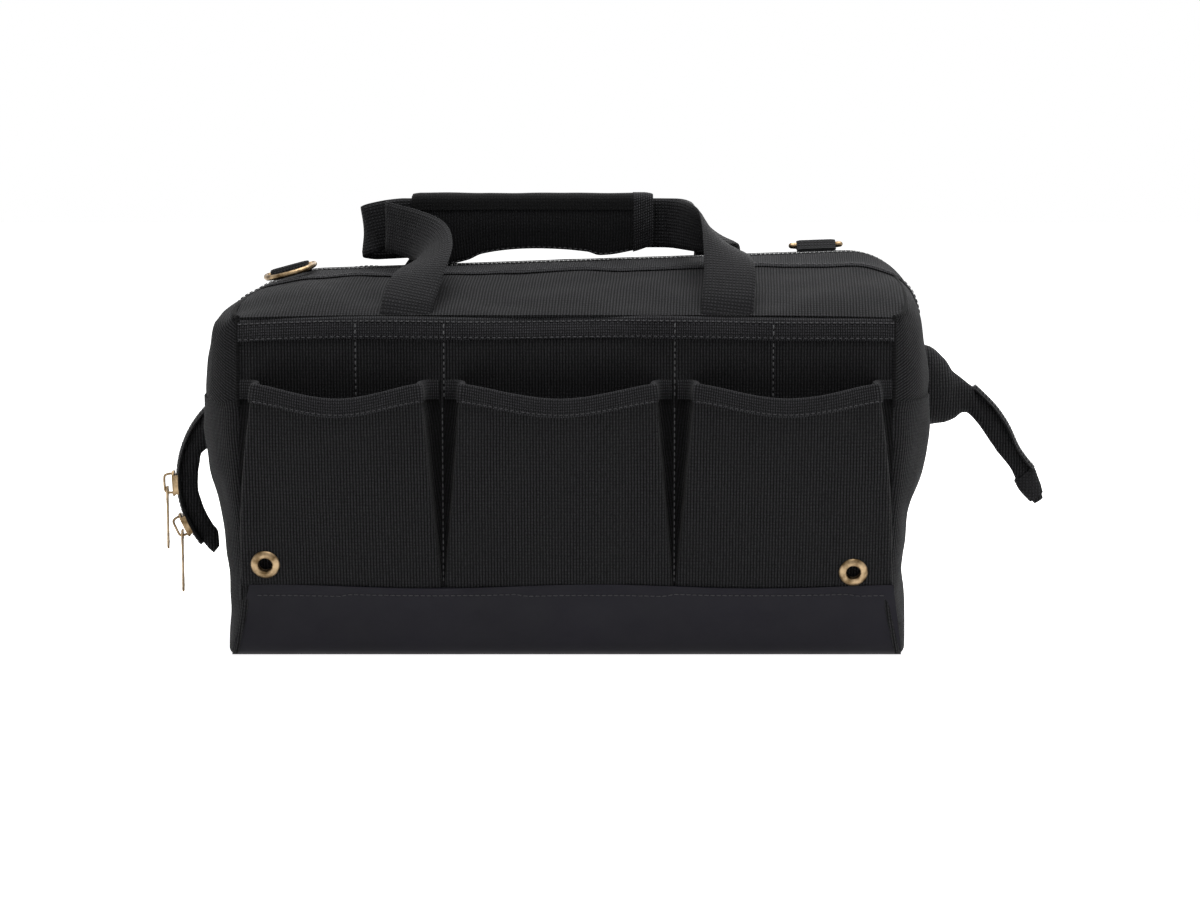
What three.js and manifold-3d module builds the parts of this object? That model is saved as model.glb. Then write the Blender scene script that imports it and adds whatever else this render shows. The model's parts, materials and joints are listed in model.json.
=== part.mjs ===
// Zippered tool bag: canvas body on a coated base, steel mouth frame under the zip, bellows pockets,
// webbing handles joined by a padded wrap, D-rings, and a zip that runs out into a tail at each end.
// Millimetres, +Z up. The origin is the centre of the underside, +X is the right end seen from the
// front, and -Y is the front.
import * as THREE from 'three';
import { mergeVertices } from 'three/addons/utils/BufferGeometryUtils.js';
import Module from 'manifold-3d';

const wasm = await Module();
wasm.setup();

// Clearance between pieces that touch, and the smaller one beside the interlocked teeth
const gap = 0.3;
const meshGap = 0.15;

// Body
const bagLength = 406;
const bagDepth = 228;
const wallTop = 203;
const cloth = 2;
const bandHeight = 38;
const bandThick = 2.6;
const floorThick = 2.5;
const bandCorner = 10;
const boardThick = 3;
const endBulge = 23;
const endBulgeSpan = 0.85;
const endBulgeRise = 0.9;
const endSeamHeight = 152;
const shoulderRise = 4;

// Slip pocket that spans the front, and the binding folded over its top edge
const slipCloth = 1.8;
const slipSlack = 6.4;
const slipTuck = 9;
const bindingThick = 1;
const bindingHeight = 12;

// Bellows pockets: the two seams between the three pockets, and the outer seams
const pocketOuterSeam = 194;
const leftPocketSeam = -73;
const rightPocketSeam = 64;
const pocketTop = 165;
const pocketDip = 12;
const pocketDepth = 22;
const pocketFlare = 0.8;
const pocketPleat = 9;
const pocketCrown = 4;
const pocketCloth = 1.8;
const pocketBindingHeight = 10;

// Eyelets in the outer pockets
const eyeletRadius = 8.5;
const eyeletBore = 4.4;
const eyeletWall = 0.9;
const leftEyeletX = -178;
const leftEyeletZ = 57;
const rightEyeletX = 170;
const rightEyeletZ = 52;

// Mouth frame: two steel rods, with the zip tape and the teeth over them
const eyeRadius = 6;
const hingeHeight = endSeamHeight - eyeRadius;
const rodRadius = 2.4;
const rodOffset = 9;
const ridgeRise = 68;
const ridgeSlope = 11;
const ridgeLeft = endSeamHeight + ridgeRise;
const ridgeRight = ridgeLeft + ridgeSlope;
const leftCorner = 60;
const rightCorner = 36;
const roofTurn = 35;
const eyeThick = 5;
const rivetRadius = 2.4;
const rivetHead = 4.6;
const rivetCollar = 4.2;
// Room between the frame and each end panel, so that the opened frame swings down inside the panel
const frameRoom = 5;
const rivetHeadThick = 1.4;
const tapeWidth = 10.6;
const tapeThick = 1.2;
const teethWidth = 3;
const teethThick = 3;

// Webbing handles
const webWidth = 30;
const webThick = 2.2;
const handleSpacing = 189;
const gripRise = 22.5;
const handleHeight = ridgeRight + gripRise;
const handleLoop = 17;
const handleLean = 1.8;
const handleHook = 6;
const loopReturn = 0.85;
const loopDelay = 3;
const twistFrom = 0.4;
const twistTo = 0.8;
const gripStart = -96;
const gripEnd = 55;
const gripClear = 5;
const gripLining = 3.8;
const gripPadThick = 4;
const flapThick = 3;
const strapFromCentre = 2.5;

// D-rings on webbing tabs
const ringWidth = 34;
const ringDepth = 20;
const ringShank = 4;
const ringWire = 1.8;
const tabWidth = 24;
const tabThick = 1.2;
const tabLength = 10;
const tabWrapFrom = -36;
const tabWrapTo = 252;
const ringFromZip = 14.5;
const leftRingInset = 31;
const rightRingInset = 47;
const leftRingX = leftRingInset - bagLength / 2;
const rightRingX = bagLength / 2 - rightRingInset;
const leftRingTilt = 15;
const rightRingTilt = 2;
const ringDroop = 5;
const ringLift = 4.2;

// Zip tails
const tailThick = 9;
const tailChainThick = 3.6;
const tailChainWidth = 6.2;
const leftTailRadius = 67;
const leftTailWidth = 12;
const leftTailBelowSeam = 8;
const leftTailTop = endSeamHeight - leftTailBelowSeam;
const leftTailFrom = 129;
const leftTailTo = 223;
const leftTailNeck = 23;
const leftTailNeckDrop = 6;
const leftTailNeckTurn = 26;
const leftTailTipTurn = 6;
const tailChainTrim = 3;
const rightTailAboveSeam = 21;
const rightTailRootHeight = 45;
const rightTailTop = endSeamHeight + rightTailAboveSeam;
const rightTailFoot = rightTailTop - rightTailRootHeight;
const rightTailReach = 76;
const rightTailDrop = 95;
const rightTailWidth = 17;
const rightTailShoulder = 14;
const rightTailNeck = 22;
const tipSlant = 2;
const tipCut = 5;

// Sliders on the left tail and their pulls
const upperSliderTurn = 182;
const lowerSliderTurn = 205;
const sliderLength = 16;
const sliderWidth = 10.4;
const sliderPlate = 1.5;
const sliderFlange = 3;
const crownLength = 13;
const crownInner = 4.6;
const crownBar = 1.5;
const crownWidth = 1.8;
const pullLength = 36;
const pullWidth = 7;
const pullThick = 1.2;
const pullEyeHeight = 5;
const pullEyeSlack = 0.6;
const pullRim = 1.6;

const half = 0.5;
const bag = new THREE.Group();

const canvasBlack = new THREE.MeshStandardMaterial({ color: 0x18181a, roughness: 0.95, metalness: 0 });
const coatedNavy = new THREE.MeshStandardMaterial({ color: 0x16141f, roughness: 0.5, metalness: 0 });
const webbingBlack = new THREE.MeshStandardMaterial({ color: 0x1c1c1e, roughness: 0.9, metalness: 0 });
const teethBlack = new THREE.MeshStandardMaterial({ color: 0x1e1e20, roughness: 0.5, metalness: 0 });
const boardGrey = new THREE.MeshStandardMaterial({ color: 0x2c2c2e, roughness: 0.8, metalness: 0 });
const steel = new THREE.MeshStandardMaterial({ color: 0x8c8c8c, roughness: 0.35, metalness: 1 });
const brass = new THREE.MeshStandardMaterial({ color: 0x8d7650, roughness: 0.35, metalness: 1 });
const foamGrey = new THREE.MeshStandardMaterial({ color: 0x3a3a3c, roughness: 1, metalness: 0 });

// General shape functions

function vector(x, y, z) {
  return new THREE.Vector3(x, y, z);
}

function radians(degrees) {
  return THREE.MathUtils.degToRad(degrees);
}

// Gives a triangle list as a geometry whose faces point out.
function facingOut(points, triangles) {
  let volume = 0;
  for (const [a, b, c] of triangles) {
    volume += points[a].dot(points[b].clone().cross(points[c]));
  }
  const index = triangles.flatMap(([a, b, c]) => (volume > 0 ? [a, b, c] : [a, c, b]));
  const geometry = new THREE.BufferGeometry();
  geometry.setAttribute('position', new THREE.Float32BufferAttribute(points.flatMap((p) => p.toArray()), 3));
  geometry.setIndex(index);
  geometry.computeVertexNormals();
  return geometry;
}

// Closes a grid of outer points and a grid of inner points into one sheet of cloth.
function skin(outer, inner) {
  const rows = outer.length;
  const columns = outer[0].length;
  const points = [...outer.flat(), ...inner.flat()];
  const back = rows * columns;
  const triangles = [];
  const quad = (a, b, c, d) => triangles.push([a, b, c], [a, c, d]);
  const at = (i, j) => i * columns + j;
  for (let i = 0; i < rows - 1; i += 1) {
    for (let j = 0; j < columns - 1; j += 1) {
      quad(at(i, j), at(i, j + 1), at(i + 1, j + 1), at(i + 1, j));
      quad(back + at(i, j), back + at(i + 1, j), back + at(i + 1, j + 1), back + at(i, j + 1));
    }
  }
  const edge = [];
  for (let j = 0; j < columns - 1; j += 1) edge.push(at(0, j));
  for (let i = 0; i < rows - 1; i += 1) edge.push(at(i, columns - 1));
  for (let j = columns - 1; j > 0; j -= 1) edge.push(at(rows - 1, j));
  for (let i = rows - 1; i > 0; i -= 1) edge.push(at(i, 0));
  edge.forEach((a, n) => {
    const b = edge[(n + 1) % edge.length];
    quad(b, a, back + a, back + b);
  });
  return facingOut(points, triangles);
}

// Carries a closed section along stations that each give a place and the section's two directions.
function sweep(section, stations) {
  const sides = section.length;
  const points = stations.flatMap(({ at, right, up }) =>
    section.map(([a, b]) => at.clone().addScaledVector(right, a).addScaledVector(up, b)));
  const triangles = [];
  for (let i = 0; i < stations.length - 1; i += 1) {
    for (let j = 0; j < sides; j += 1) {
      const a = i * sides + j;
      const b = i * sides + ((j + 1) % sides);
      triangles.push([a, b, b + sides], [a, b + sides, a + sides]);
    }
  }
  const last = (stations.length - 1) * sides;
  const flat = section.map(([a, b]) => new THREE.Vector2(a, b));
  const winding = THREE.ShapeUtils.area(flat) > 0 ? 1 : -1;
  for (const [a, b, c] of THREE.ShapeUtils.triangulateShape(flat, [])) {
    const turned = winding > 0 ? [a, c, b] : [a, b, c];
    triangles.push(turned, [last + turned[0], last + turned[2], last + turned[1]]);
  }
  return facingOut(points, triangles);
}

// Sweeps a flat band of webbing. Each station is a place and the direction that the width points in.
function webbing(stations, width, thick) {
  const w = width * half;
  const t = thick * half;
  const section = [[-w, -t], [w, -t], [w, t], [-w, t]];
  const frames = stations.map(({ at, across }, i) => {
    const before = stations[Math.max(i - 1, 0)].at;
    const after = stations[Math.min(i + 1, stations.length - 1)].at;
    const travel = after.clone().sub(before).normalize();
    const right = across.clone().addScaledVector(travel, -across.dot(travel)).normalize();
    return { at, right, up: travel.cross(right) };
  });
  return sweep(section, frames);
}

// Extrudes an outline drawn in X and Z between two depths in Y.
function plateXZ(outline, fromY, toY, holes = []) {
  const shape = new THREE.Shape(outline.map(([x, z]) => new THREE.Vector2(x, z)));
  for (const hole of holes) shape.holes.push(new THREE.Path(hole.map(([x, z]) => new THREE.Vector2(x, z))));
  const geometry = new THREE.ExtrudeGeometry(shape, { depth: toY - fromY, bevelEnabled: false });
  geometry.rotateX(Math.PI * half);
  geometry.translate(0, toY, 0);
  return geometry;
}

function asSolid(geometry) {
  const bare = new THREE.BufferGeometry();
  bare.setAttribute('position', geometry.getAttribute('position'));
  bare.setIndex(geometry.getIndex());
  const merged = mergeVertices(bare, 1e-5);
  return new wasm.Manifold(new wasm.Mesh({
    numProp: 3,
    vertProperties: new Float32Array(merged.getAttribute('position').array),
    triVerts: new Uint32Array(merged.getIndex().array),
  }));
}

function asGeometry(solid) {
  const mesh = solid.getMesh();
  const geometry = new THREE.BufferGeometry();
  geometry.setAttribute('position', new THREE.Float32BufferAttribute(mesh.vertProperties, 3));
  geometry.setIndex(new THREE.Uint32BufferAttribute(mesh.triVerts, 1));
  geometry.computeVertexNormals();
  return geometry;
}

function cut(geometry, ...tools) {
  return asGeometry(tools.reduce((left, tool) => left.subtract(asSolid(tool)), asSolid(geometry)));
}

function join(geometry, ...others) {
  return asGeometry(others.reduce((left, other) => left.add(asSolid(other)), asSolid(geometry)));
}

// Turns a shape of the front into its mirror image at the back.
function mirrored(geometry) {
  const copy = geometry.clone();
  copy.scale(1, -1, 1);
  const index = Array.from(copy.getIndex().array);
  for (let i = 0; i < index.length; i += 3) [index[i + 1], index[i + 2]] = [index[i + 2], index[i + 1]];
  copy.setIndex(index);
  copy.computeVertexNormals();
  return copy;
}

function box(fromCorner, toCorner) {
  const size = toCorner.clone().sub(fromCorner);
  const middle = toCorner.clone().add(fromCorner).multiplyScalar(half);
  return new THREE.BoxGeometry(size.x, size.y, size.z).translate(middle.x, middle.y, middle.z);
}

function place(name, geometry, material, at = vector(0, 0, 0), turn = new THREE.Euler()) {
  const mesh = new THREE.Mesh(geometry, material.clone());
  mesh.name = name;
  mesh.position.copy(at);
  mesh.rotation.copy(turn);
  bag.add(mesh);
  return mesh;
}

// Layers of the front, from the outside in
const slipOuterY = bagDepth * half - bandThick - gap;
const slipInnerY = slipOuterY - slipCloth;
const wallOuterY = slipInnerY - slipSlack;
const wallInnerY = wallOuterY - cloth;
const pocketRootY = slipOuterY + gap;
const endX = bagLength * half - bandThick - 2 * gap;
const wallFoot = floorThick + gap;
const roofFoot = wallTop + gap;

// Base: a coated tray that wraps up the sides as the band, and the stiff board that lies in it
function roundedRectangle(length, depth, radius) {
  const x = length * half;
  const y = depth * half;
  const shape = new THREE.Shape();
  shape.moveTo(-x + radius, -y);
  shape.lineTo(x - radius, -y);
  shape.absarc(x - radius, -y + radius, radius, -Math.PI * half, 0);
  shape.lineTo(x, y - radius);
  shape.absarc(x - radius, y - radius, radius, 0, Math.PI * half);
  shape.lineTo(-x + radius, y);
  shape.absarc(-x + radius, y - radius, radius, Math.PI * half, Math.PI);
  shape.lineTo(-x, -y + radius);
  shape.absarc(-x + radius, -y + radius, radius, Math.PI, Math.PI * 3 * half);
  return shape;
}

function slab(shape, bottom, top) {
  const options = { depth: top - bottom, bevelEnabled: false, curveSegments: 3 };
  return new THREE.ExtrudeGeometry(shape, options).translate(0, 0, bottom);
}

function baseTray() {
  const outer = slab(roundedRectangle(bagLength, bagDepth, bandCorner), 0, bandHeight);
  const room = roundedRectangle(bagLength - 2 * bandThick, bagDepth - 2 * bandThick, bandCorner - bandThick);
  return cut(outer, slab(room, floorThick, bandHeight + floorThick));
}

function baseBoard() {
  const x = endX - cloth - gap;
  const y = wallInnerY - gap;
  return box(vector(-x, -y, wallFoot), vector(x, y, wallFoot + boardThick));
}

// End walls bulge outwards above the band.
function endFace(y, z) {
  const climb = Math.max(0, (z - bandHeight) / (wallTop - bandHeight));
  const rise = Math.sin(Math.PI * endBulgeSpan * climb ** endBulgeRise);
  return endX + endBulge * rise * Math.cos((y / wallInnerY) * Math.PI * half);
}

function steps(from, to, count) {
  return Array.from({ length: count + 1 }, (_, i) => from + ((to - from) * i) / count);
}

function endWall() {
  const depths = steps(-wallInnerY + gap, wallInnerY - gap, 8);
  const heights = [wallFoot, bandHeight, ...steps(bandHeight, endSeamHeight, 4).slice(1)];
  const outer = heights.map((z) => depths.map((y) => vector(endFace(y, z), y, z)));
  const inner = outer.map((row) => row.map((p) => vector(p.x - cloth, p.y, p.z)));
  const rivetHole = new THREE.CylinderGeometry(rivetRadius + gap, rivetRadius + gap, endBulge * 2, 12)
    .rotateZ(Math.PI * half).translate(endX + endBulge * half, 0, hingeHeight);
  return cut(skin(outer, inner), rivetHole);
}

function wall() {
  const top = roofFoot - cloth - gap;
  return box(vector(-endX, -wallOuterY, wallFoot), vector(endX, -wallInnerY, top));
}

// Line of the mouth frame in X and Z, from the left foot to the right one, with its outward normals
const hingeWallX = endFace(0, hingeHeight) - cloth;
const frameX = hingeWallX - 4 * gap - frameRoom - eyeThick * half;

function mouthLine() {
  const leftCentre = [-frameX + leftCorner, ridgeLeft - leftCorner];
  const rightCentre = [frameX - rightCorner, ridgeRight - rightCorner];
  const slope = Math.atan2(ridgeRight - ridgeLeft, rightCentre[0] - leftCentre[0]);
  const along = [];
  const arc = (centre, radius, from, to, count) => steps(from, to, count).forEach((angle) => {
    const n = [Math.cos(angle), Math.sin(angle)];
    along.push({ x: centre[0] + radius * n[0], z: centre[1] + radius * n[1], n, angle });
  });
  const foot = endSeamHeight + gap;
  along.push({ x: -frameX, z: foot, n: [-1, 0], angle: Math.PI });
  arc(leftCentre, leftCorner, Math.PI, Math.PI * half + slope, 6);
  arc(rightCentre, rightCorner, Math.PI * half + slope, 0, 6);
  along.push({ x: frameX, z: foot, n: [1, 0], angle: 0 });
  return along;
}

const line = mouthLine();

function offsetPoint(station, offset) {
  return [station.x + station.n[0] * offset, station.z + station.n[1] * offset];
}

function mouthBand(fromOffset, toOffset, fromY, toY) {
  const outside = line.map((station) => offsetPoint(station, toOffset));
  const inside = line.map((station) => offsetPoint(station, fromOffset)).reverse();
  return plateXZ([...outside, ...inside], fromY, toY);
}

// Frame rod with a flat eye at each foot. The front rod's eyes sit outside the back rod's eyes.
function frameRod(eyeX) {
  const lowest = endSeamHeight + 2 * rodRadius;
  const rod = line.map(({ x, z }) => vector(x, -rodOffset, Math.max(z, lowest)));
  const foot = (side) => [
    vector(side * eyeX, -rodRadius - gap, hingeHeight + eyeRadius * half),
    vector(side * eyeX, -rodOffset * half - rodRadius, endSeamHeight),
  ];
  const stops = [...foot(-1), ...rod, ...foot(1).reverse()];
  const round = new THREE.Shape().absarc(0, 0, rodRadius, 0, Math.PI * 2);
  const sides = round.getPoints(2).slice(1).map((p) => [p.x, p.y]);
  const frames = stops.map((at, i) => {
    const before = stops[Math.max(i - 1, 0)];
    const after = stops[Math.min(i + 1, stops.length - 1)];
    const travel = after.clone().sub(before).normalize();
    const right = vector(0, 1, 0).addScaledVector(travel, -travel.y).normalize();
    return { at, right, up: travel.clone().cross(right) };
  });
  const eye = (side) => {
    const ring = new THREE.LatheGeometry([
      new THREE.Vector2(rivetRadius + gap, -eyeThick * half),
      new THREE.Vector2(eyeRadius, -eyeThick * half),
      new THREE.Vector2(eyeRadius, eyeThick * half),
      new THREE.Vector2(rivetRadius + gap, eyeThick * half),
      new THREE.Vector2(rivetRadius + gap, -eyeThick * half),
    ], 12);
    return ring.rotateZ(Math.PI * half).translate(side * eyeX, 0, hingeHeight);
  };
  const bore = new THREE.CylinderGeometry(rivetRadius + gap, rivetRadius + gap, 3 * frameX, 12)
    .rotateZ(Math.PI * half).translate(0, 0, hingeHeight);
  return cut(join(sweep(sides, frames), eye(-1), eye(1)), bore);
}

function rivet() {
  const outerFace = endFace(0, hingeHeight) + gap;
  const innerEnd = frameX - 3 * half * eyeThick - 2 * gap;
  const profile = [
    new THREE.Vector2(0, innerEnd - rivetHeadThick),
    new THREE.Vector2(rivetHead, innerEnd - rivetHeadThick),
    new THREE.Vector2(rivetHead, innerEnd),
    new THREE.Vector2(rivetRadius, innerEnd),
    new THREE.Vector2(rivetRadius, frameX + eyeThick * half + gap),
    new THREE.Vector2(rivetCollar, frameX + eyeThick * half + gap),
    new THREE.Vector2(rivetCollar, hingeWallX - 4 * gap),
    new THREE.Vector2(rivetRadius, hingeWallX - 4 * gap),
    new THREE.Vector2(rivetRadius, outerFace),
    new THREE.Vector2(rivetHead, outerFace),
    new THREE.Vector2(rivetHead, outerFace + rivetHeadThick),
    new THREE.Vector2(0, outerFace + rivetHeadThick),
  ];
  return new THREE.LatheGeometry(profile, 12).rotateZ(-Math.PI * half);
}

// Roof and upper end panels, which fold when the mouth opens
const tapeOffset = rodRadius + gap;
const chainOffset = rodRadius;
const panelEdgeY = rodOffset + tapeWidth * half + gap;
const roofStations = line.filter(({ angle }) => Math.abs(angle - Math.PI * half) < radians(roofTurn));

function shoulder(share) {
  return shoulderRise * Math.sin(Math.PI * share);
}

function roofPoint(station, share) {
  const [zipX, zipZ] = offsetPoint(station, tapeOffset + tapeThick);
  const reach = Math.abs(roofStations.at(station.x < 0 ? 0 : -1).x);
  const frontX = (station.x / reach) * (endX - gap);
  const clampedX = Math.max(-endX + gap, Math.min(endX - gap, frontX));
  return vector(
    clampedX + (zipX - clampedX) * share,
    -wallOuterY + (wallOuterY - panelEdgeY) * share,
    roofFoot + (zipZ - roofFoot) * share + shoulder(share),
  );
}

function roof() {
  const outer = steps(0, 1, 4).map((share) => roofStations.map((station) => roofPoint(station, share)));
  const inner = outer.map((row) => row.map((p) => vector(p.x, p.y, p.z - cloth)));
  return skin(outer, inner);
}

// One upper end panel, from the front corner to the zip. Side is 1 on the right and -1 on the left.
function gusset(side) {
  const ordered = side > 0 ? [...line].reverse() : line;
  const edge = ordered.slice(0, ordered.findIndex((station) => roofStations.includes(station)) + 1);
  const last = edge.length - 1;
  const outer = edge.map((station, i) => {
    const climb = i / last;
    const [zipX, zipZ] = offsetPoint(station, tapeOffset + tapeThick);
    const cornerZ = endSeamHeight + gap + (wallTop - endSeamHeight - gap) * climb;
    return steps(0, 1, 3).map((share) => vector(
      side * endX + (zipX + 2 * side * gap - side * endX) * share,
      -wallInnerY + gap + (wallInnerY - gap - panelEdgeY) * share,
      cornerZ + (zipZ - cornerZ) * share + shoulder(share) * climb - gap * climb,
    ));
  });
  const inner = outer.map((row, i) => {
    const turn = (Math.PI * half * i) / last;
    return row.map((p) => vector(p.x - side * cloth * Math.cos(turn), p.y, p.z - cloth * Math.sin(turn)));
  });
  return skin(outer, inner);
}

// Slip pocket: flat across the front, tucked back to the wall at both ends
function slipPlan() {
  const edge = endX - gap;
  const tuckY = wallOuterY + gap + slipCloth;
  return [
    vector(-edge, -tuckY, 0), vector(-edge + slipTuck, -slipOuterY, 0),
    vector(edge - slipTuck, -slipOuterY, 0), vector(edge, -tuckY, 0),
  ];
}

function slipPocket() {
  const rows = [wallFoot, wallTop];
  const outer = rows.map((z) => slipPlan().map((p) => vector(p.x, p.y, z)));
  const inner = outer.map((row) => row.map((p) => vector(p.x, p.y + slipCloth, p.z)));
  return skin(outer, inner);
}

// A tape folded over a panel's top edge. Each station gives the panel's outer edge point, the step
// through its thickness and the way that the panel climbs.
function binding(edgePoints, thicknesses, climbs, panelThick, height) {
  const outside = gap + bindingThick;
  const section = [
    [-outside, -height], [-outside, outside],
    [panelThick + outside, outside], [panelThick + outside, -height],
    [panelThick + gap, -height], [panelThick + gap, gap],
    [-gap, gap], [-gap, -height],
  ];
  const stations = edgePoints.map((at, i) => ({
    at,
    right: thicknesses[i].clone().divideScalar(panelThick),
    up: climbs[i],
  }));
  return sweep(section, stations);
}

function slipBinding() {
  const points = slipPlan().slice(1, 3).map((p) => vector(p.x, p.y, wallTop));
  const through = points.map(() => vector(0, slipCloth, 0));
  return binding(points, through, points.map(() => vector(0, 0, 1)), slipCloth, bindingHeight);
}

// Bellows pockets. The outer grid runs from seam to seam; the inner grid is the cavity side.
function bulge(z) {
  const climb = Math.max(0, z - bandHeight - gap) / (pocketTop - bandHeight);
  return gap + pocketCloth + pocketDepth * climb ** pocketFlare;
}

function pocketGrid(left, right) {
  const foot = bandHeight + gap;
  const shares = steps(0, 1, 6);
  return steps(0, 1, 4).map((climb) => {
    const z = foot + (pocketTop - foot) * climb;
    const y = -pocketRootY - bulge(z);
    const pleat = pocketPleat * climb + gap;
    const run = (inset) => shares.map((share) => {
      const bow = Math.sin(Math.PI * share) * climb;
      const x = left + pleat + inset + (right - left - 2 * (pleat + inset)) * share;
      return vector(x, y + inset - pocketCrown * bow, z - pocketDip * bow * climb);
    });
    return {
      outer: [vector(left, -pocketRootY, z), ...run(0), vector(right, -pocketRootY, z)],
      inner: [
        vector(left + pocketCloth, -pocketRootY, z), ...run(pocketCloth),
        vector(right - pocketCloth, -pocketRootY, z),
      ],
    };
  });
}

function pocket(left, right) {
  const grid = pocketGrid(left, right);
  return skin(grid.map((row) => row.outer), grid.map((row) => row.inner));
}

function pocketBinding(left, right) {
  const [below, rim] = pocketGrid(left, right).slice(-2);
  const low = below.outer.slice(1, -1);
  const edge = rim.outer.slice(1, -1);
  const through = rim.inner.slice(1, -1).map((p, i) => p.clone().sub(edge[i]));
  const climbs = edge.map((p, i) => p.clone().sub(low[i]).divideScalar(p.z - low[i].z));
  return binding(edge, through, climbs, pocketCloth, pocketBindingHeight);
}

// Eyelet through an outer pocket's face, square to the cloth there
function pocketSpot(left, right, x, z) {
  const grid = pocketGrid(left, right);
  const [low, high] = [grid[0].outer, grid[1].outer];
  const b = low.findIndex((p, i) => i > 1 && p.x > x);
  const a = b - 1;
  const climb = (z - low[a].z) / (high[a].z - low[a].z);
  const from = low[a].clone().lerp(high[a], climb);
  const to = low[b].clone().lerp(high[b], climb);
  const at = from.clone().lerp(to, (x - from.x) / (to.x - from.x));
  const rise = high[a].clone().sub(low[a]).add(high[b]).sub(low[b]).normalize();
  const normal = to.clone().sub(from).normalize().cross(rise).normalize();
  const turn = new THREE.Euler().setFromQuaternion(
    new THREE.Quaternion().setFromUnitVectors(vector(0, -1, 0), normal.y > 0 ? normal.negate() : normal),
  );
  return { at, turn };
}

function eyelet() {
  const inside = eyeletBore + eyeletWall;
  const front = -gap - eyeletWall;
  const back = pocketCloth + gap + eyeletWall;
  const profile = [
    [eyeletBore, front], [eyeletRadius, front], [eyeletRadius, -gap], [inside, -gap],
    [inside, pocketCloth + gap], [eyeletRadius, pocketCloth + gap], [eyeletRadius, back], [eyeletBore, back],
    [eyeletBore, front],
  ];
  return new THREE.LatheGeometry(profile.map(([r, y]) => new THREE.Vector2(r, y)), 16);
}

function eyeletHole({ at, turn }) {
  const radius = eyeletBore + eyeletWall + gap;
  const drill = new THREE.CylinderGeometry(radius, radius, pocketDepth, 16);
  return drill.applyMatrix4(new THREE.Matrix4().makeRotationFromEuler(turn)).translate(at.x, at.y, at.z);
}

// Handles: the sewn legs behind the slip pocket, and the free straps that meet in the grip
const legY = wallOuterY + gap + webThick * half;
const strapFoot = wallTop + webThick * half;

function strapLeg() {
  const y = webThick * half;
  return box(vector(-webWidth * half, -y, bandHeight), vector(webWidth * half, y, wallTop));
}

// One side of the free strap. It climbs along a quarter of an ellipse, twists from flat to upright on
// the way, and bows out by the loop before it runs in to the grip.
function climbing(side, gripX, loop) {
  const legX = side * handleSpacing * half;
  const rise = handleHeight - strapFoot;
  return steps(0, 1, 5).map((share) => {
    const angle = Math.PI * half * share;
    const run = (legY - strapFromCentre) * Math.cos(angle) ** handleLean;
    const bow = side * loop * Math.sin(Math.PI * loopReturn * share ** loopDelay);
    const twist = THREE.MathUtils.clamp((share - twistFrom) / (twistTo - twistFrom), 0, 1) * Math.PI * half;
    return {
      at: vector(
        legX + (gripX - legX) * share ** handleHook + bow,
        -strapFromCentre - run,
        strapFoot + rise * Math.sin(angle),
      ),
      across: vector(-side * Math.cos(twist), 0, Math.sin(twist)),
    };
  });
}

function handleStations() {
  const upright = vector(0, 0, 1);
  return [
    ...climbing(-1, gripStart, handleLoop),
    { at: vector(gripStart + gap, -strapFromCentre, handleHeight), across: upright },
    { at: vector(gripEnd - gap, -strapFromCentre, handleHeight), across: upright },
    ...climbing(1, gripEnd + gripClear, 0).reverse(),
  ];
}

// Grip: a lined back, a foam pad and a flap that comes over the top and down the front
const gripBackY = strapFromCentre + webThick * half + gap;
const gripTopZ = handleHeight + webWidth * half + gap;
const gripFootZ = handleHeight - webWidth * half;
const padFrontY = -gripBackY - gripPadThick;

function gripBack() {
  return box(vector(gripStart, gripBackY, gripFootZ), vector(gripEnd, gripBackY + gripLining, gripTopZ));
}

function gripPad() {
  return box(vector(gripStart, padFrontY, gripFootZ), vector(gripEnd, -gripBackY, gripTopZ - gap));
}

function gripFlap() {
  const backY = gripBackY + gripLining;
  const frontY = padFrontY - gap;
  const low = gripFootZ - gap;
  const high = gripTopZ + gap;
  const section = [
    [backY, high], [backY, high + flapThick], [frontY - flapThick * half, high + flapThick],
    [frontY - flapThick, high], [frontY - flapThick, low], [-gripBackY, low - flapThick * half],
    [-gripBackY, low], [frontY, low], [frontY, high],
  ];
  const [right, up] = [vector(0, 1, 0), vector(0, 0, 1)];
  return sweep(section, [gripStart, gripEnd].map((x) => ({ at: vector(x, 0, 0), right, up })));
}

// D-ring and its folded webbing tab, drawn about the bar: X along the bar, -Y the way the ring hangs
function ring() {
  const reach = ringWidth * half;
  const path = new THREE.CurvePath();
  const bow = steps(0, Math.PI, 8).map((angle) =>
    vector(reach * Math.cos(angle), -ringShank - (ringDepth - ringShank) * Math.sin(angle), 0));
  const stops = [vector(reach, 0, 0), ...bow, vector(-reach, 0, 0)];
  stops.forEach((stop, i) => path.add(new THREE.LineCurve3(stop, stops[(i + 1) % stops.length])));
  return new THREE.TubeGeometry(path, stops.length * 2, ringWire, 6, true);
}

function ringTab() {
  const hole = ringWire + gap;
  const outer = hole + tabThick;
  const foot = -ringLift;
  const arcOf = (radius, from, to, count) => steps(radians(from), radians(to), count)
    .map((angle) => [radius * Math.cos(angle), radius * Math.sin(angle)]);
  const outline = [
    ...arcOf(outer, tabWrapFrom, tabWrapTo, 9),
    [outer, foot],
    [tabLength, foot],
    [tabLength, foot + tabThick],
    [outer + tabThick, foot + tabThick],
  ];
  const flat = (points) => points.map(([y, z]) => new THREE.Vector2(y, z));
  const shape = new THREE.Shape(flat(outline));
  shape.holes.push(new THREE.Path(flat(arcOf(hole, 0, 360, 8).slice(1))));
  const geometry = new THREE.ExtrudeGeometry(shape, { depth: tabWidth, bevelEnabled: false });
  geometry.translate(0, 0, -tabWidth * half);
  const upright = new THREE.Matrix4().makeBasis(vector(0, 1, 0), vector(0, 0, 1), vector(1, 0, 0));
  return geometry.applyMatrix4(upright);
}

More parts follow.
